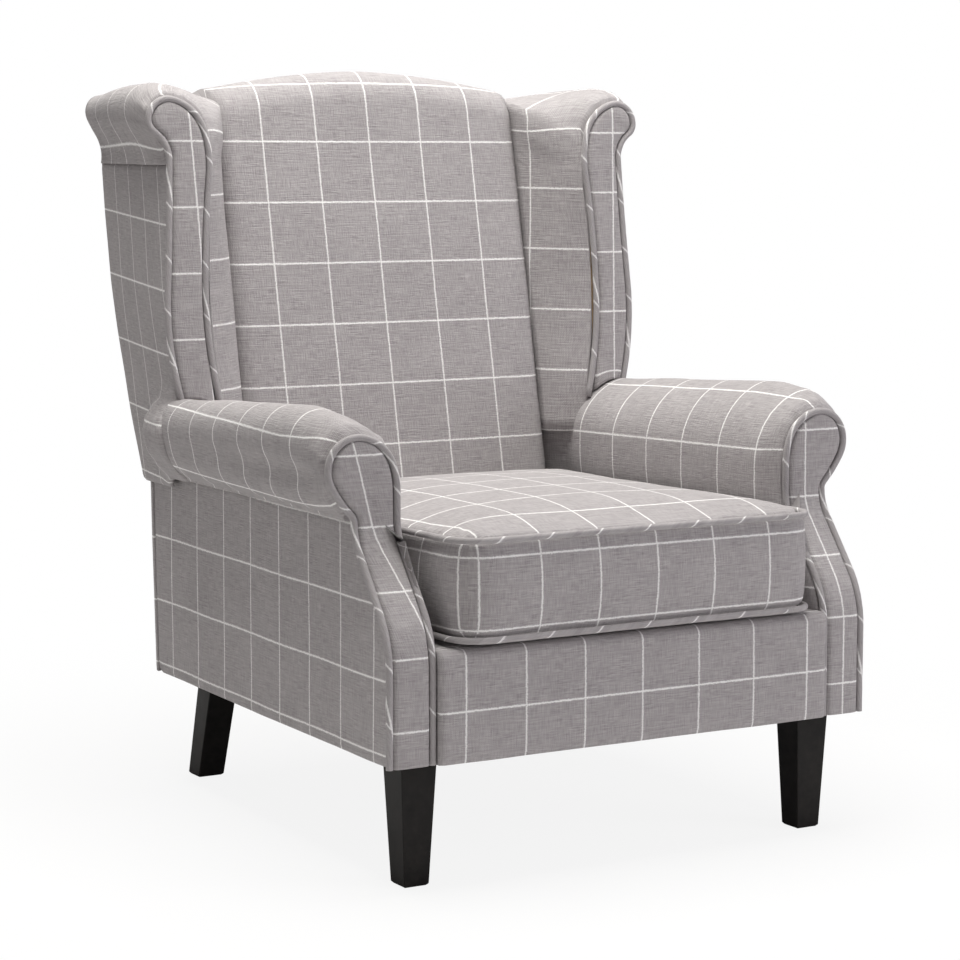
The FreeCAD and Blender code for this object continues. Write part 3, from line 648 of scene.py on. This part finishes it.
depths = [0.0, 0.003, 0.009, 0.018, 0.028, 0.04, 0.055, 0.07, 0.085, 0.1]
depths = depths + [0.1 + 0.9 * k / 44 for k in range(1, 45)]
for side, hand in hands:
    rings, cloth = [], []
    for depth in depths:
        profile, length = roll_line(lerp(65.3, roll_rear, depth))
        ring, laid = [], []
        for k, ((x, z), run) in enumerate(zip(profile, measured(profile))):
            front = arm_front(z) + seam_back if z < 480 else 65.3
            y = lerp(front, roll_rear, depth)
            around = (k - 17) / 54
            fan = 4.6 * math.exp(-(y - 65.0) / 22.0) * smooth(around, 0.12, 0.3)
            pull = pleat(around, fan * (1 - smooth(around, 0.76, 0.92)), 64.0, 2.2, side, 29.0)
            inward = 4.6 * math.exp(-(y - front) / 5.0)
            if z > 470:
                x, z = moved_out(x, z, (355.0, 525.0), pull - inward)
            else:
                x = x + inward
            if k < 26:
                x = x - 36.0 * smooth(y, 585.0, roll_rear) * (1 - smooth(z, 525.0, 572.0))
            ring.append(at(side * x, y, z))
            if side > 0:
                laid.append(((y - 15.0) / 90.0, (run - 133.0 + 6.0 + 0.034 * (y - 65.0)) / rise))
            else:
                laid.append(((y - 63.0) / 79.0, (195.0 + length - 28.0 - run) / rise))
        for x, z, level in ((330.0, 464.0, 440), (309.0, 440.0, 400), (306.0, 300.0, 302)):
            ring.append(at(side * x, lerp(arm_front(level) + seam_back, roll_rear, depth), z))
        rings.append(ring)
        cloth.append(laid + [laid[-1], laid[-1], laid[0]])
    arm_roll = closed_skin("arm_roll_" + hand, rings, cloth)
    covered(rippled(arm_roll, 0.9, 75, 5.0 + side), "arm_pad_" + hand)

# The arm fronts: a padded panel on a shaped board, edged all round by a self piping, a
# cord in a strip of the same cloth cut on the bias.

piping_cloth = cloth_material("piping_cloth", ((0.270, 0.250, 0.256), (0.455, 0.432, 0.435)),
                              (0.88, 0.87, 0.86), 84.0, 0.6, 0.04)


def cord(name, path, radius, normal_hint, closed=False, turned=0.0, round_it=12):
    """A piped edge: a sewn strip round a cord along a bent path, slightly uneven."""
    rings, cloth = [], []
    count = len(path)
    run = 0.0
    for i, here in enumerate(path):
        ahead = path[(i + 1) % count] if closed or i < count - 1 else here
        behind = path[i - 1] if closed or i > 0 else here
        way = (ahead - behind).normalized()
        aside = way.cross(normal_hint).normalized()
        up = aside.cross(way).normalized()
        if i:
            run += (here - path[i - 1]).length
        size = radius * (1.0 + 0.05 * unevenness(here, 14, 8.0))
        turns = [2 * math.pi * k / round_it for k in range(round_it)]
        rings.append([here + (aside * math.cos(turn) + up * math.sin(turn)) * size for turn in turns])
        wraps = [abs((k / round_it + turned) % 1.0 - 0.5) * 0.42 for k in range(round_it)]
        cloth.append([(run * 1000 / 74.0 + wrap, 0.23 + wrap * 1.2 + run * 1000 / 240.0)
                      for wrap in wraps])
    return closed_skin(name, rings, cloth, [0.5] * (count * round_it), closed)


roll_edge = [(301.0, 464.4), (301.0, 503.0), (306.7, 535.2), (357.0, 574.5), (407.5, 533.0),
             (402.0, 507.0), (374.5, 470.5), (371.0, 464.4)]


def inset(path, depth):
    """The same open line moved depth to its right-hand side, inwards."""
    moved = []
    for i, (a, b) in enumerate(path):
        p = path[max(0, i - 1)]
        q = path[min(len(path) - 1, i + 1)]
        reach = math.dist(p, q)
        moved.append((a + depth * (q[1] - p[1]) / reach, b - depth * (q[0] - p[0]) / reach))
    return moved


def piped_front(part, side, hand, piped, edge, front, tall, lay, hint, seed):
    """The front of a part: a piping along one line and a panel tall points high inside
    another, which lay bends and swells; front tells how far back it stands at a height."""
    path = [at(side * x, front(z) + 3.6, z) for x, z in inset(piped, 4.2)]
    piping = cord(part + "_welt_" + hand, path, 0.0046, Vector((0, -1, hint)))
    fitted(piping, "chair", piping_cloth, "piping_fabric", part + "_piping_" + hand)
    edge = inset(edge, 8.2)
    crest = max(range(len(edge)), key=lambda i: edge[i][1])
    left, _ = evened(edge[:crest + 1], tall)
    right, _ = evened(edge[:crest - 1:-1], tall)
    facing = panel(part + "_front_" + hand, tall, 15, Vector((0, 0.006, 0)), lay, side, left, right)
    covered(rippled(facing, 0.4, 60, seed + side), part + "_facing_" + hand)


def on_front(i, k, left, right, crest, front):
    """A point of a padded front between its two edges, soft towards them and the crest."""
    x = lerp(left[i][0], right[i][0], k / 14)
    z = lerp(left[i][1], right[i][1], k / 14)
    edge_off = min(k / 14, 1 - k / 14) * abs(right[i][0] - left[i][0])
    near_top = max(0.0, crest - z)
    swell = 2.6 * min(1.0, edge_off / 13.0) ** 0.5 * min(1.0, near_top / 12.0) ** 0.5
    tuck = 4.8 * max(0.0, 1 - edge_off / 5.0) ** 2
    return x, front(z) + 1.0 - swell + tuck, z


def arm_facing(i, k, side, left, right):
    x, y, z = on_front(i, k, left, right, 566.0, arm_front)
    swept = (arm_front(z) + 36.0) * 0.32
    if side > 0:
        laid = ((x - 333.0) / pane - 0.02, (z - 207.0 + swept) / rise)
    else:
        laid = ((x - 304.0 - 0.25 * max(0.0, z - 300.0)) / pane, (z - 210.0 + swept) / rise)
    return at(side * x, y, z), laid, 0.0


edge = ([(301.0, hem_line + 10.0 * k) for k in range(30)] + tangent_arcs(roll_edge, 90.0, 3.0)
        + [(371.0, 454.0 - 10.0 * k) for k in range(30)])
for side, hand in hands:
    piped_front("arm", side, hand, edge, edge, arm_front, 90, arm_facing, 0.001, 9.0)

# The inside back: a thick pad, fuller in the middle, drawn tight over the top rail and
# down behind it; it runs into the wings in a deep seam at each side.


def inside_back(z):
    return 588.0 + 0.205 * max(0.0, z - 430.0)


rows, cloth = [], []
for k in range(71):
    x = lerp(-251.0, 251.0, k / 70)
    share = abs(x) / 251.0
    crest = 1014.0 + 29.0 * (1 - share ** 1.6)
    swell = 8.5 * (1 - share ** 2) ** 0.6 - 9.0 * smooth(abs(x), 232.0, 251.0) ** 2
    top = crest - 42.0
    line = [(588.0 - swell, 316.0 + 114.0 * i / 12) for i in range(12)]
    line = line + [(inside_back(430 + (top - 430) * i / 50) - swell, 430 + (top - 430) * i / 50)
                   for i in range(50)]
    front = inside_back(top) - swell
    rear = chair_back(crest - 25.0) - 8.5
    bend = tangent_arcs([(front, top), (front + 19.0, crest - 9.0), (front + 52.0, crest),
                         (rear - 8.0, crest - 21.0), (rear, crest - 25.0 - 12.0)], 78.4, 4.0)
    line = line + evened(bend, 34)[0]
    laid = [((x + 9.0) / 87.6, (run - 316.0 + 45.0) / 90.5) for run in measured(line)]
    # behind the cloth the pad is closed by a flat back, inside the frame
    line = line + [(chair_back(906.0) - 10.0, 906.0), (760.0, 905.5), (648.0, 440.0), (648.0, 316.0)]
    rows.append([at(x, y, z) for y, z in line])
    cloth.append(laid + [laid[-1]] * 2 + [laid[0]] * 2)
back_cushion = closed_skin("inside_back", rows, cloth)
covered(rippled(back_cushion, 1.3, 120, 12.0), "back_pad")

# The outside back: one flat cloth over the frame from the top rail to the hem, hand
# stitched down both rear edges.


def back_width(z):
    """Half the outside back's width: it is sewn to the sides at its very edge."""
    return along(((164.0, 345.0), (446.0, 346.0), (577.0, 348.0), (905.0, 352.0), (1013.0, 346.0)), z)


def outside_back(i, k):
    share = k / 30 - 1.0
    arch = 1012.0 - 27.0 * share ** 2
    z = lerp(hem_line, arch, i / 90)
    half = back_width(z)
    x = share * half
    edge = min(1.0, (half - abs(x)) / 12.0)
    high = min(1.0, (arch - z) / 10.0)
    y = chair_back(z) - 0.5 - 4.0 * (1 - edge) ** 2 - 4.0 * (1 - high) ** 2
    y = y - 2.0 * math.sin(math.pi * k / 60) * math.sin(math.pi * (i / 90))
    y = y - 1.0 * (1 - smooth(z, hem_line, 171))
    return at(x, y, z), ((x + 9.0) / pane, (z - 270.0) / rise), (1 - edge) * 0.6


back_cloth = panel("outside_back_cloth", 91, 61, Vector((0, -0.007, 0)), outside_back)
covered(rippled(back_cloth, 0.7, 110, 13.0), "outside_back")

# The wings: one cloth goes up the padded inside of the wing, over the scrolled top and down
# to a seam on its outside; it is gathered where it turns over behind the front panel.


def wing_front(z):
    """How far back the wing's front panel lies at a height: it leans back 4.2 degrees."""
    return 565.0 + 0.0734 * (z - 577.3)


wing_foot = ((500.0, 303.0), (577.0, 305.0), (650.0, 314.0), (722.0, 318.5), (807.0, 315.0),
             (890.0, 307.0), (905.0, 307.0))


def wing_inside(y, z):
    """How far out the inside of the wing stands, from the seam at the back to its front."""
    front = wing_front(z) + 6.0
    back = inside_back(z)
    share = min(1.0, max(0.0, (back - y) / (back - front)))
    return lerp(253.0, along(wing_foot, z), share) - 7.0 * math.sin(math.pi * share)


# how much slimmer the scroll grows, how high its crest stands and where it starts, by depth
crest_slim = ((585.0, 0.0), (650.0, 2.0), (720.0, 10.0), (912.0, 40.0))
crest_high = ((574.0, 998.0), (600.0, 1012.0), (622.0, 1018.5), (650.0, 1020.5), (720.0, 1018.5),
              (912.0, 1006.0))
shoulder = ((574.0, 950.0), (600.0, 960.0), (622.0, 969.0), (650.0, 985.0), (720.0, 1000.0),
            (912.0, 996.0))


def wing_line(y):
    """The wing's cloth at one distance back: up the inside, over the scroll, 78 points."""
    slim = along(crest_slim, y)
    low = along(shoulder, y)
    high = along(crest_high, y)
    inner = max(252.0, wing_inside(y, min(940.0, low)) if y < 720 else 252.0)
    inner = lerp(inner, 252.0, smooth(y, 640.0, 720.0))
    peak = (366.0 - 0.6 * slim, high)
    slope = math.degrees(math.atan2(high - low, peak[0] - inner))
    over = tangent_arcs([(inner, low), peak, (409.0 - slim, 969.0), (398.5 - slim, 948.0),
                         (380.0 - 0.68 * slim, 905.5)], 2 * slope - 6.0, 3.0)
    over, _ = evened(over, 44)
    inside = [(0.0, lerp(500.0, low, (k / 34) ** 0.94)) for k in range(34)]
    return inside, over


depths = [0.0, 0.004, 0.01, 0.018, 0.028, 0.04, 0.055, 0.075, 0.1, 0.125, 0.15]
depths = depths + [0.15 + 0.85 * k / 36 for k in range(1, 37)]
for side, hand in hands:
    rings, cloth = [], []
    for depth in depths:
        inside, over = wing_line(lerp(595.0, 908.0, depth))
        ring, laid = [], []
        run = 0.0
        last = None
        for k, (x, z) in enumerate(inside + over):
            front = wing_front(z) + (5.5 if k < 34 else seam_back)
            outer = max(smooth(z, 890.0, 985.0), smooth(k, 40.0, 54.0))
            y = lerp(front, lerp(inside_back(z) + 22.0, chair_back(z) - 5.0, outer), depth)
            if k < 34:
                x = max(253.0, wing_inside(y, z))
                x = lerp(x, over[0][0], smooth(z, 905.0, over[0][1]) if over[0][1] > 906 else 0)
            if last:
                run += math.dist(last, (x, z))
            last = (x, z)
            around = max(0.0, (k - 33) / 44)
            fan = 4.8 * math.exp(-(y - front) / 22.0) * smooth(around, 0.08, 0.3)
            pull = pleat(around, fan * (1 - smooth(around, 0.82, 0.98)), 60.0, 2.5, 2.0 * side, 23.0)
            inward = 4.4 * math.exp(-(y - front) / 5.0)
            if z > 900.0 and k >= 30:
                x, z = moved_out(x, z, (352.0, 945.0), pull - inward)
            else:
                x = x + inward * 0.3
            ring.append(at(side * x, y, z))
            depth_run = math.hypot(y - front, 0.35 * (y - front))
            level = (run + 500.0 - (588.0 if side < 0 else 593.0)) / rise
            if k == 34:
                shoulder_level = level
            if k > 34:
                level = lerp(shoulder_level, 6.2, (k - 34) / 43)
            laid.append(((depth_run + 14.0) / pane, level))
        rear = chair_back(905.5) - 8.5
        ring.append(at(side * 352.0, lerp(wing_front(905.5) + seam_back, rear, depth), 905.5))
        for x, z, level in ((322.0, 896.0, 900.0), (321.0, 640.0, 640.0), (321.0, 500.0, 500.0)):
            y = lerp(wing_front(level) + seam_back, inside_back(level) + 22.0, depth)
            ring.append(at(side * x, y, z))
        rings.append(ring)
        cloth.append(laid + [laid[-1]] * 2 + [laid[0]] * 2)
    wing = closed_skin("wing_" + hand, rings, cloth)
    covered(rippled(wing, 0.9, 80, 15.0 + side), "wing_pad_" + hand, "wing_scroll_" + hand)

# The wing fronts: a long padded panel with a self piping round both sides and the scroll.

wing_edge = [(308.0, 577.3), (322.9, 724.7), (310.6, 889.4), (314.1, 950.5), (364.9, 1000.9),
             (408.2, 969.1), (397.7, 948.2), (379.0, 912.5), (389.0, 730.7), (375.0, 577.3)]


def wing_facing(i, k, side, left, right):
    x, y, z = on_front(i, k, left, right, 992.0, wing_front)
    drop = 24.0 * ((x - 352.0) / 45.0) ** 2 * (1 - smooth(z, 577.0, 610.0))
    if side > 0:
        laid = ((x - 352.0 - 0.03 * (z - 577.0)) / pane, (z - 591.0) / 90.5)
    else:
        laid = ((x - 322.0 - 0.055 * (z - 577.0)) / pane, (z - 569.0) / 92.5)
    return at(side * x, y, z - drop), laid, 0.0


edge = tangent_arcs(wing_edge, 77.4, 3.0)
piped = [(303.0, 553.0), (305.0, 565.0)] + edge + [(373.5, 565.0)]      # ends behind the roll
for side, hand in hands:
    piped_front("wing", side, hand, piped, edge, wing_front, 100, wing_facing, 0.07, 19.0)

# The outside wings: cloth stretched over card from the seam under the scroll down to the
# level seam above the outside arm, blind-stitched along the piping.

wing_side_front = ((446.0, 368.0), (577.0, 378.0), (730.0, 391.0), (905.5, 382.0))
wing_side_rear = ((446.0, 345.0), (577.0, 347.0), (730.0, 350.0), (905.5, 351.0))
# below the wing the cloth passes round the end of the arm roll
roll_end = ((446.0, 546.0), (462.0, 549.0), (485.0, 555.0), (533.0, 558.0), (577.3, 572.0))
roll_side = ((446.0, 366.0), (464.0, 374.5), (485.0, 392.0), (505.0, 405.5), (520.0, 410.5),
             (533.0, 412.0), (550.0, 408.0), (565.0, 396.0), (577.3, 380.0))


def outside_wing(i, k, side):
    height = lerp(446.3, 906.0, i / 110)
    front = wing_front(height) + seam_back if height > 577.3 else along(roll_end, height)
    rear = chair_back(height) - 3.0
    low = smooth(600.0 - height, 0.0, 24.0)
    y = lerp(front, rear, k / 48)
    z = height + 17.5 * (1 - smooth(y, 590.0, 640.0)) * (1 - smooth(height, 446.0, 485.0))
    share = (y - 520.0) / 400.0
    x = lerp(along(wing_side_front, z), along(wing_side_rear, z), share)
    round_roll = lerp(along(roll_side, z), along(wing_side_rear, z), smooth(y, 598.0, 725.0))
    x = lerp(x, max(x, round_roll), low)
    x = x + 2.4 * math.sin(math.pi * min(1.0, max(0.0, share)))
    edge = min(1.0, min(y - front, rear - y) / 9.0)
    high = min(1.0, min(906.0 - z, z - 446.3) / 7.0)
    x = x - 4.0 * (1 - edge) ** 2 - 4.0 * (1 - high) ** 2
    laid = ((y - 0.22 * (z - 446.0) - 661.0) / 62.0, (z - 0.06 * (y - 600.0) - 546.0) / 92.0)
    return at(side * x, y, z), laid, (1 - edge) * 0.6


for side, hand in hands:
    wing_cloth = panel("outside_wing_cloth_" + hand, 111, 49, Vector((-side * 0.008, 0, 0)),
                       outside_wing, side)
    covered(rippled(wing_cloth, 0.5, 70, 23.0 + side), "outside_wing_" + hand)

# The seat deck: plain lining cloth over a thin pad on the webbing; the cushion rests on it.

tilt = math.radians(1.15)


def on_seat(x, y, z):
    """A point of the seat, which slopes down to the back from the front rail's top edge."""
    dy, dz = y + 45.0, z - 310.0
    return at(x, -45.0 + dy * math.cos(tilt) + dz * math.sin(tilt),
              310.0 - dy * math.sin(tilt) + dz * math.cos(tilt))


def deck(i, k):
    x = lerp(-295.0, 295.0, k / 40)
    y = lerp(-25.5, 645.0, i / 40)
    edge = min(1.0, min(295.0 - abs(x), y + 25.5, 645.0 - y) / 25.0)
    return on_seat(x, y, 309.4 - 3.0 * (1 - edge) ** 2), (x / pane, y / rise), 0.0


lining = cloth_material("deck_lining", ((0.30, 0.29, 0.29), (0.44, 0.43, 0.43)), None, 110.0, 0.25)
seat_deck = panel("seat_deck_cloth", 41, 41, Vector((0, 0, -0.005)), deck)
fitted(seat_deck, "chair", lining, "deck_cloth", "seat_deck")

# The dust cover: thin black non-woven cloth stapled up under the seat frame, cut out round
# the tops of the legs.

dust_cloth = cloth_material("dust_cloth", ((0.012, 0.012, 0.013), (0.03, 0.03, 0.032)), None,
                            160.0, 0.3)
across = [lerp(-335.0, 335.0, k / 30) for k in range(31)]
back = [lerp(-26.0, 719.0, k / 34) for k in range(35)]
points = [at(x, y, 165.3 - 2.2 * (1 - (x / 335.0) ** 2) * math.sin(math.pi * (y + 26.0) / 745.0)
             + 0.4 * unevenness((x / 1000, y / 1000, 0), 60, 30.0)) for y in back for x in across]
faces = []
for i in range(34):
    for k in range(30):
        x = abs(lerp(across[k], across[k + 1], 0.5))
        y = lerp(back[i], back[i + 1], 0.5)
        at_front_leg = x > 276 and y < 52
        at_rear_leg = 238 < x < 296 and 640 < y < 700
        if not at_front_leg and not at_rear_leg:
            faces.append((i * 31 + k, i * 31 + k + 1, (i + 1) * 31 + k + 1, (i + 1) * 31 + k))
dust_cover = skin("dust_cloth", points, faces, [(p.x * 12, p.y * 12) for p in points])
fitted(dust_cover, "chair", dust_cloth, "dust_cloth", "dust_cover")

# The seat cushion: loose, boxed and crowned, foam wrapped in fibre; both its edges are
# piped, its sides draw in a little between the corners, and a zip runs along its back.


def cushion_line(grow, count):
    """The cushion's level outline, rounded corners and slightly hollow sides, count points."""
    half, front, rear = 275.0 + grow, -60.0 - grow, 571.0 + grow
    path = []
    corners = ((1, front, max(46.0 + grow, 12.0), -90), (1, rear, max(30.0 + grow, 9.0), 0),
               (-1, rear, max(30.0 + grow, 9.0), 90), (-1, front, max(46.0 + grow, 12.0), 180))
    for hand, edge, turn, start in corners:
        cy = edge + turn if edge == front else edge - turn
        for k in range(13):
            way = math.radians(start + 90 * k / 12)
            path.append((hand * (half - turn) + turn * math.cos(way), cy + turn * math.sin(way)))
    hollowed = []
    for (x0, y0), (x1, y1) in zip(path, path[1:] + path[:1]):
        hollowed.append((x0, y0))
        reach = math.hypot(x1 - x0, y1 - y0)
        if reach > 60:
            for k in range(1, 40):
                share = k / 40
                dip = 0.005 * reach * math.sin(math.pi * share)
                hollowed.append((lerp(x0, x1, share) - dip * (y1 - y0) / reach,
                                 lerp(y0, y1, share) + dip * (x1 - x0) / reach))
    points, length = evened(hollowed + hollowed[:1], count + 1)
    return points[:-1], length


# mm the outline grows, and mm over the deck, from the underside round the boxing to the crown
layers = [(-60, 0.0), (-30, 0.5), (-12, 4.0), (-7, 9.5), (-1, 15.0), (2, 27.0), (3, 45.0), (3.5, 72.0),
          (3, 100.0), (2, 118.0), (-1, 130.0), (-7, 135.5), (-12, 141.5), (-32, 148.0), (-80, 154.7),
          (-140, 158.5), (-200, 159.5)]
rings = []
for grow, high in layers:
    line, _ = cushion_line(grow - 2.5, 176)
    rings.append([on_seat(x, y, 310.4 + high) for x, y in line])
cushion = closed_skin("seat_cushion", rings)


def baked(piece):
    """The mesh that a piece's modifiers make of it; they come off the piece."""
    graph = bpy.context.evaluated_depsgraph_get()
    mesh = bpy.data.meshes.new_from_object(piece.evaluated_get(graph))
    piece.modifiers.clear()
    return mesh


def puffed(piece, cell, pressure, most, held):
    """Cloth simulation: the case is pumped up by its filling; no point moves over most,
    and points for which held(point) is true stay put."""
    studio.view_layers[0].objects.active = piece
    remesh = piece.modifiers.new("even", "REMESH")
    remesh.mode = "VOXEL"
    remesh.voxel_size = cell
    piece.data = baked(piece)
    start = [v.co.copy() for v in piece.data.vertices]
    pins = piece.vertex_groups.new(name="held")
    pins.add([i for i, p in enumerate(start) if held(p)], 1.0, "REPLACE")
    filling = piece.modifiers.new("filling", "CLOTH").settings
    filling.use_pressure = True
    filling.uniform_pressure_force = pressure
    filling.effector_weights.gravity = 0
    filling.vertex_group_mass = "held"
    filling.quality = 5
    filling.tension_stiffness = 20
    filling.compression_stiffness = 8
    filling.bending_stiffness = 1.5
    for step in range(1, 21):
        studio.frame_set(step)
    done = baked(piece)
    piece.vertex_groups.clear()
    studio.frame_set(1)
    for v, p in zip(done.vertices, start):
        move = v.co - p
        if move.length > most:
            v.co = p + move * (most / move.length)
    done.polygons.foreach_set("use_smooth", [True] * len(done.polygons))
    piece.data = done
    return piece


def seat_place(p):
    """(x, y, height over the deck) of a point of the seat in millimetres, untilted."""
    dy, dz = (p.y - front_line) * 1000 + 45.0, p.z * 1000 - 310.0
    return (p.x * 1000, -45.0 + dy * math.cos(tilt) - dz * math.sin(tilt),
            dy * math.sin(tilt) + dz * math.cos(tilt))


seam_low, seam_high = 9.5, 135.5    # mm over the deck to the two piped seams


def held_down(p):
    high = seat_place(p)[2]
    return high < 4.0 or abs(high - seam_low) < 4.0 or abs(high - seam_high) < 4.0


puffed(cushion, 0.0065, 3.0, 0.012, held_down)

# the boxing draws in at the two seams, and the underside lies flat on the deck
mesh = cushion.data
for v in mesh.vertices:
    x, y, high = seat_place(v.co)
    if abs(x) > 245 or y < -30 or y > 545:
        dip = max(math.exp(-((high - seam - 0.4) / 3.2) ** 2) for seam in (seam_low, seam_high))
        back = min(0.45, max(0.05, v.co.y - front_line))
        way = Vector((min(0.2, max(-0.2, v.co.x)), front_line + back, v.co.z)) - v.co
        if way.length > 0.001:
            v.co += way.normalized() * (0.0035 * dip)
    if high < 0.5:
        v.co = on_seat(x, y, 310.5)

# the cloth: two panels laid square to the chair, and the boxing cut from strips of it
layer = mesh.uv_layers.new(name="cloth").data
for face in mesh.polygons:
    x, y, high = seat_place(face.center)
    normal = face.normal
    for index in face.loop_indices:
        px, py, pz = seat_place(mesh.vertices[mesh.loops[index].vertex_index].co)
        if high > seam_high - 0.5 or high < seam_low + 0.5:
            layer[index].uv = ((px + 25.0) / pane + 0.5, (py - 15.0) / rise)
        elif abs(normal.x) > abs(normal.y):
            hand = 1 if px > 0 else -1
            layer[index].uv = ((hand * (py + 60.0) + 275.0 - 15.0 * hand) / pane, (pz - 22.0) / rise)
        else:
            layer[index].uv = ((px - 15.0) / pane, (pz - 22.0) / rise)
rippled(cushion, 1.0, 95, 41.0)
fitted(cushion, "cushion", check_cloth, "check_fabric", "cushion")

for name, high in (("cushion_piping_top", seam_high), ("cushion_piping_bottom", seam_low)):
    line, _ = cushion_line(-0.2, 300)
    path = []
    for x, y in line:
        waver = 0.5 * unevenness((x / 1000, y / 1000, 0), 50, 43.0)
        path.append(on_seat(x, y, 310.0 + high + waver))
    piping = cord(name + "_welt", path, 0.0043, Vector((0, 0, 1)), closed=True, turned=0.25)
    for mark in piping.data.uv_layers["cloth"].data:
        mark.uv = (mark.uv[0], 0.35)    # only the lines across the strip show on these two
    fitted(piping, "cushion", piping_cloth, "piping_fabric", name)

# The zip: a woven tape with a moulded coil along the cushion's back, under the swell of the
# boxing, its slider enamelled grey with a flat pull.


def zip_run(i, k):
    x = lerp(-220.0, 220.0, k / 88)
    high = 59.5 + i / 6 * 26.0
    coil = 1.0 if 2 <= i <= 4 else 0.0
    bead = 0.55 + 0.45 * math.sin(k * math.pi / 2)
    y = 564.0 + 1.2 + (0.9 * coil * bead if abs(x) < 216 else 0.0)
    return on_seat(x, y, 310.0 + high), (x / pane, high / rise), 0.0


tape_cloth = cloth_material("zip_tape", ((0.20, 0.19, 0.20), (0.33, 0.32, 0.33)), None, 130.0, 0.2)
zip_piece = panel("zip_tape", 7, 89, Vector((0, -0.0012, 0)), zip_run)
fitted(zip_piece, "cushion", tape_cloth, "zip_tape", "zip")

enamel, wire, shader, _ = new_material("grey_enamel")
orange = wire.cloud(wire.place(), 900, 3)
wire.feed(shader, {"Base Color": wire.blend(orange, (0.25, 0.24, 0.25), (0.34, 0.33, 0.34)),
                   "Roughness": wire.times(orange, 0.15, 0.32)})
painted(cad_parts["zip_slider"], enamel)
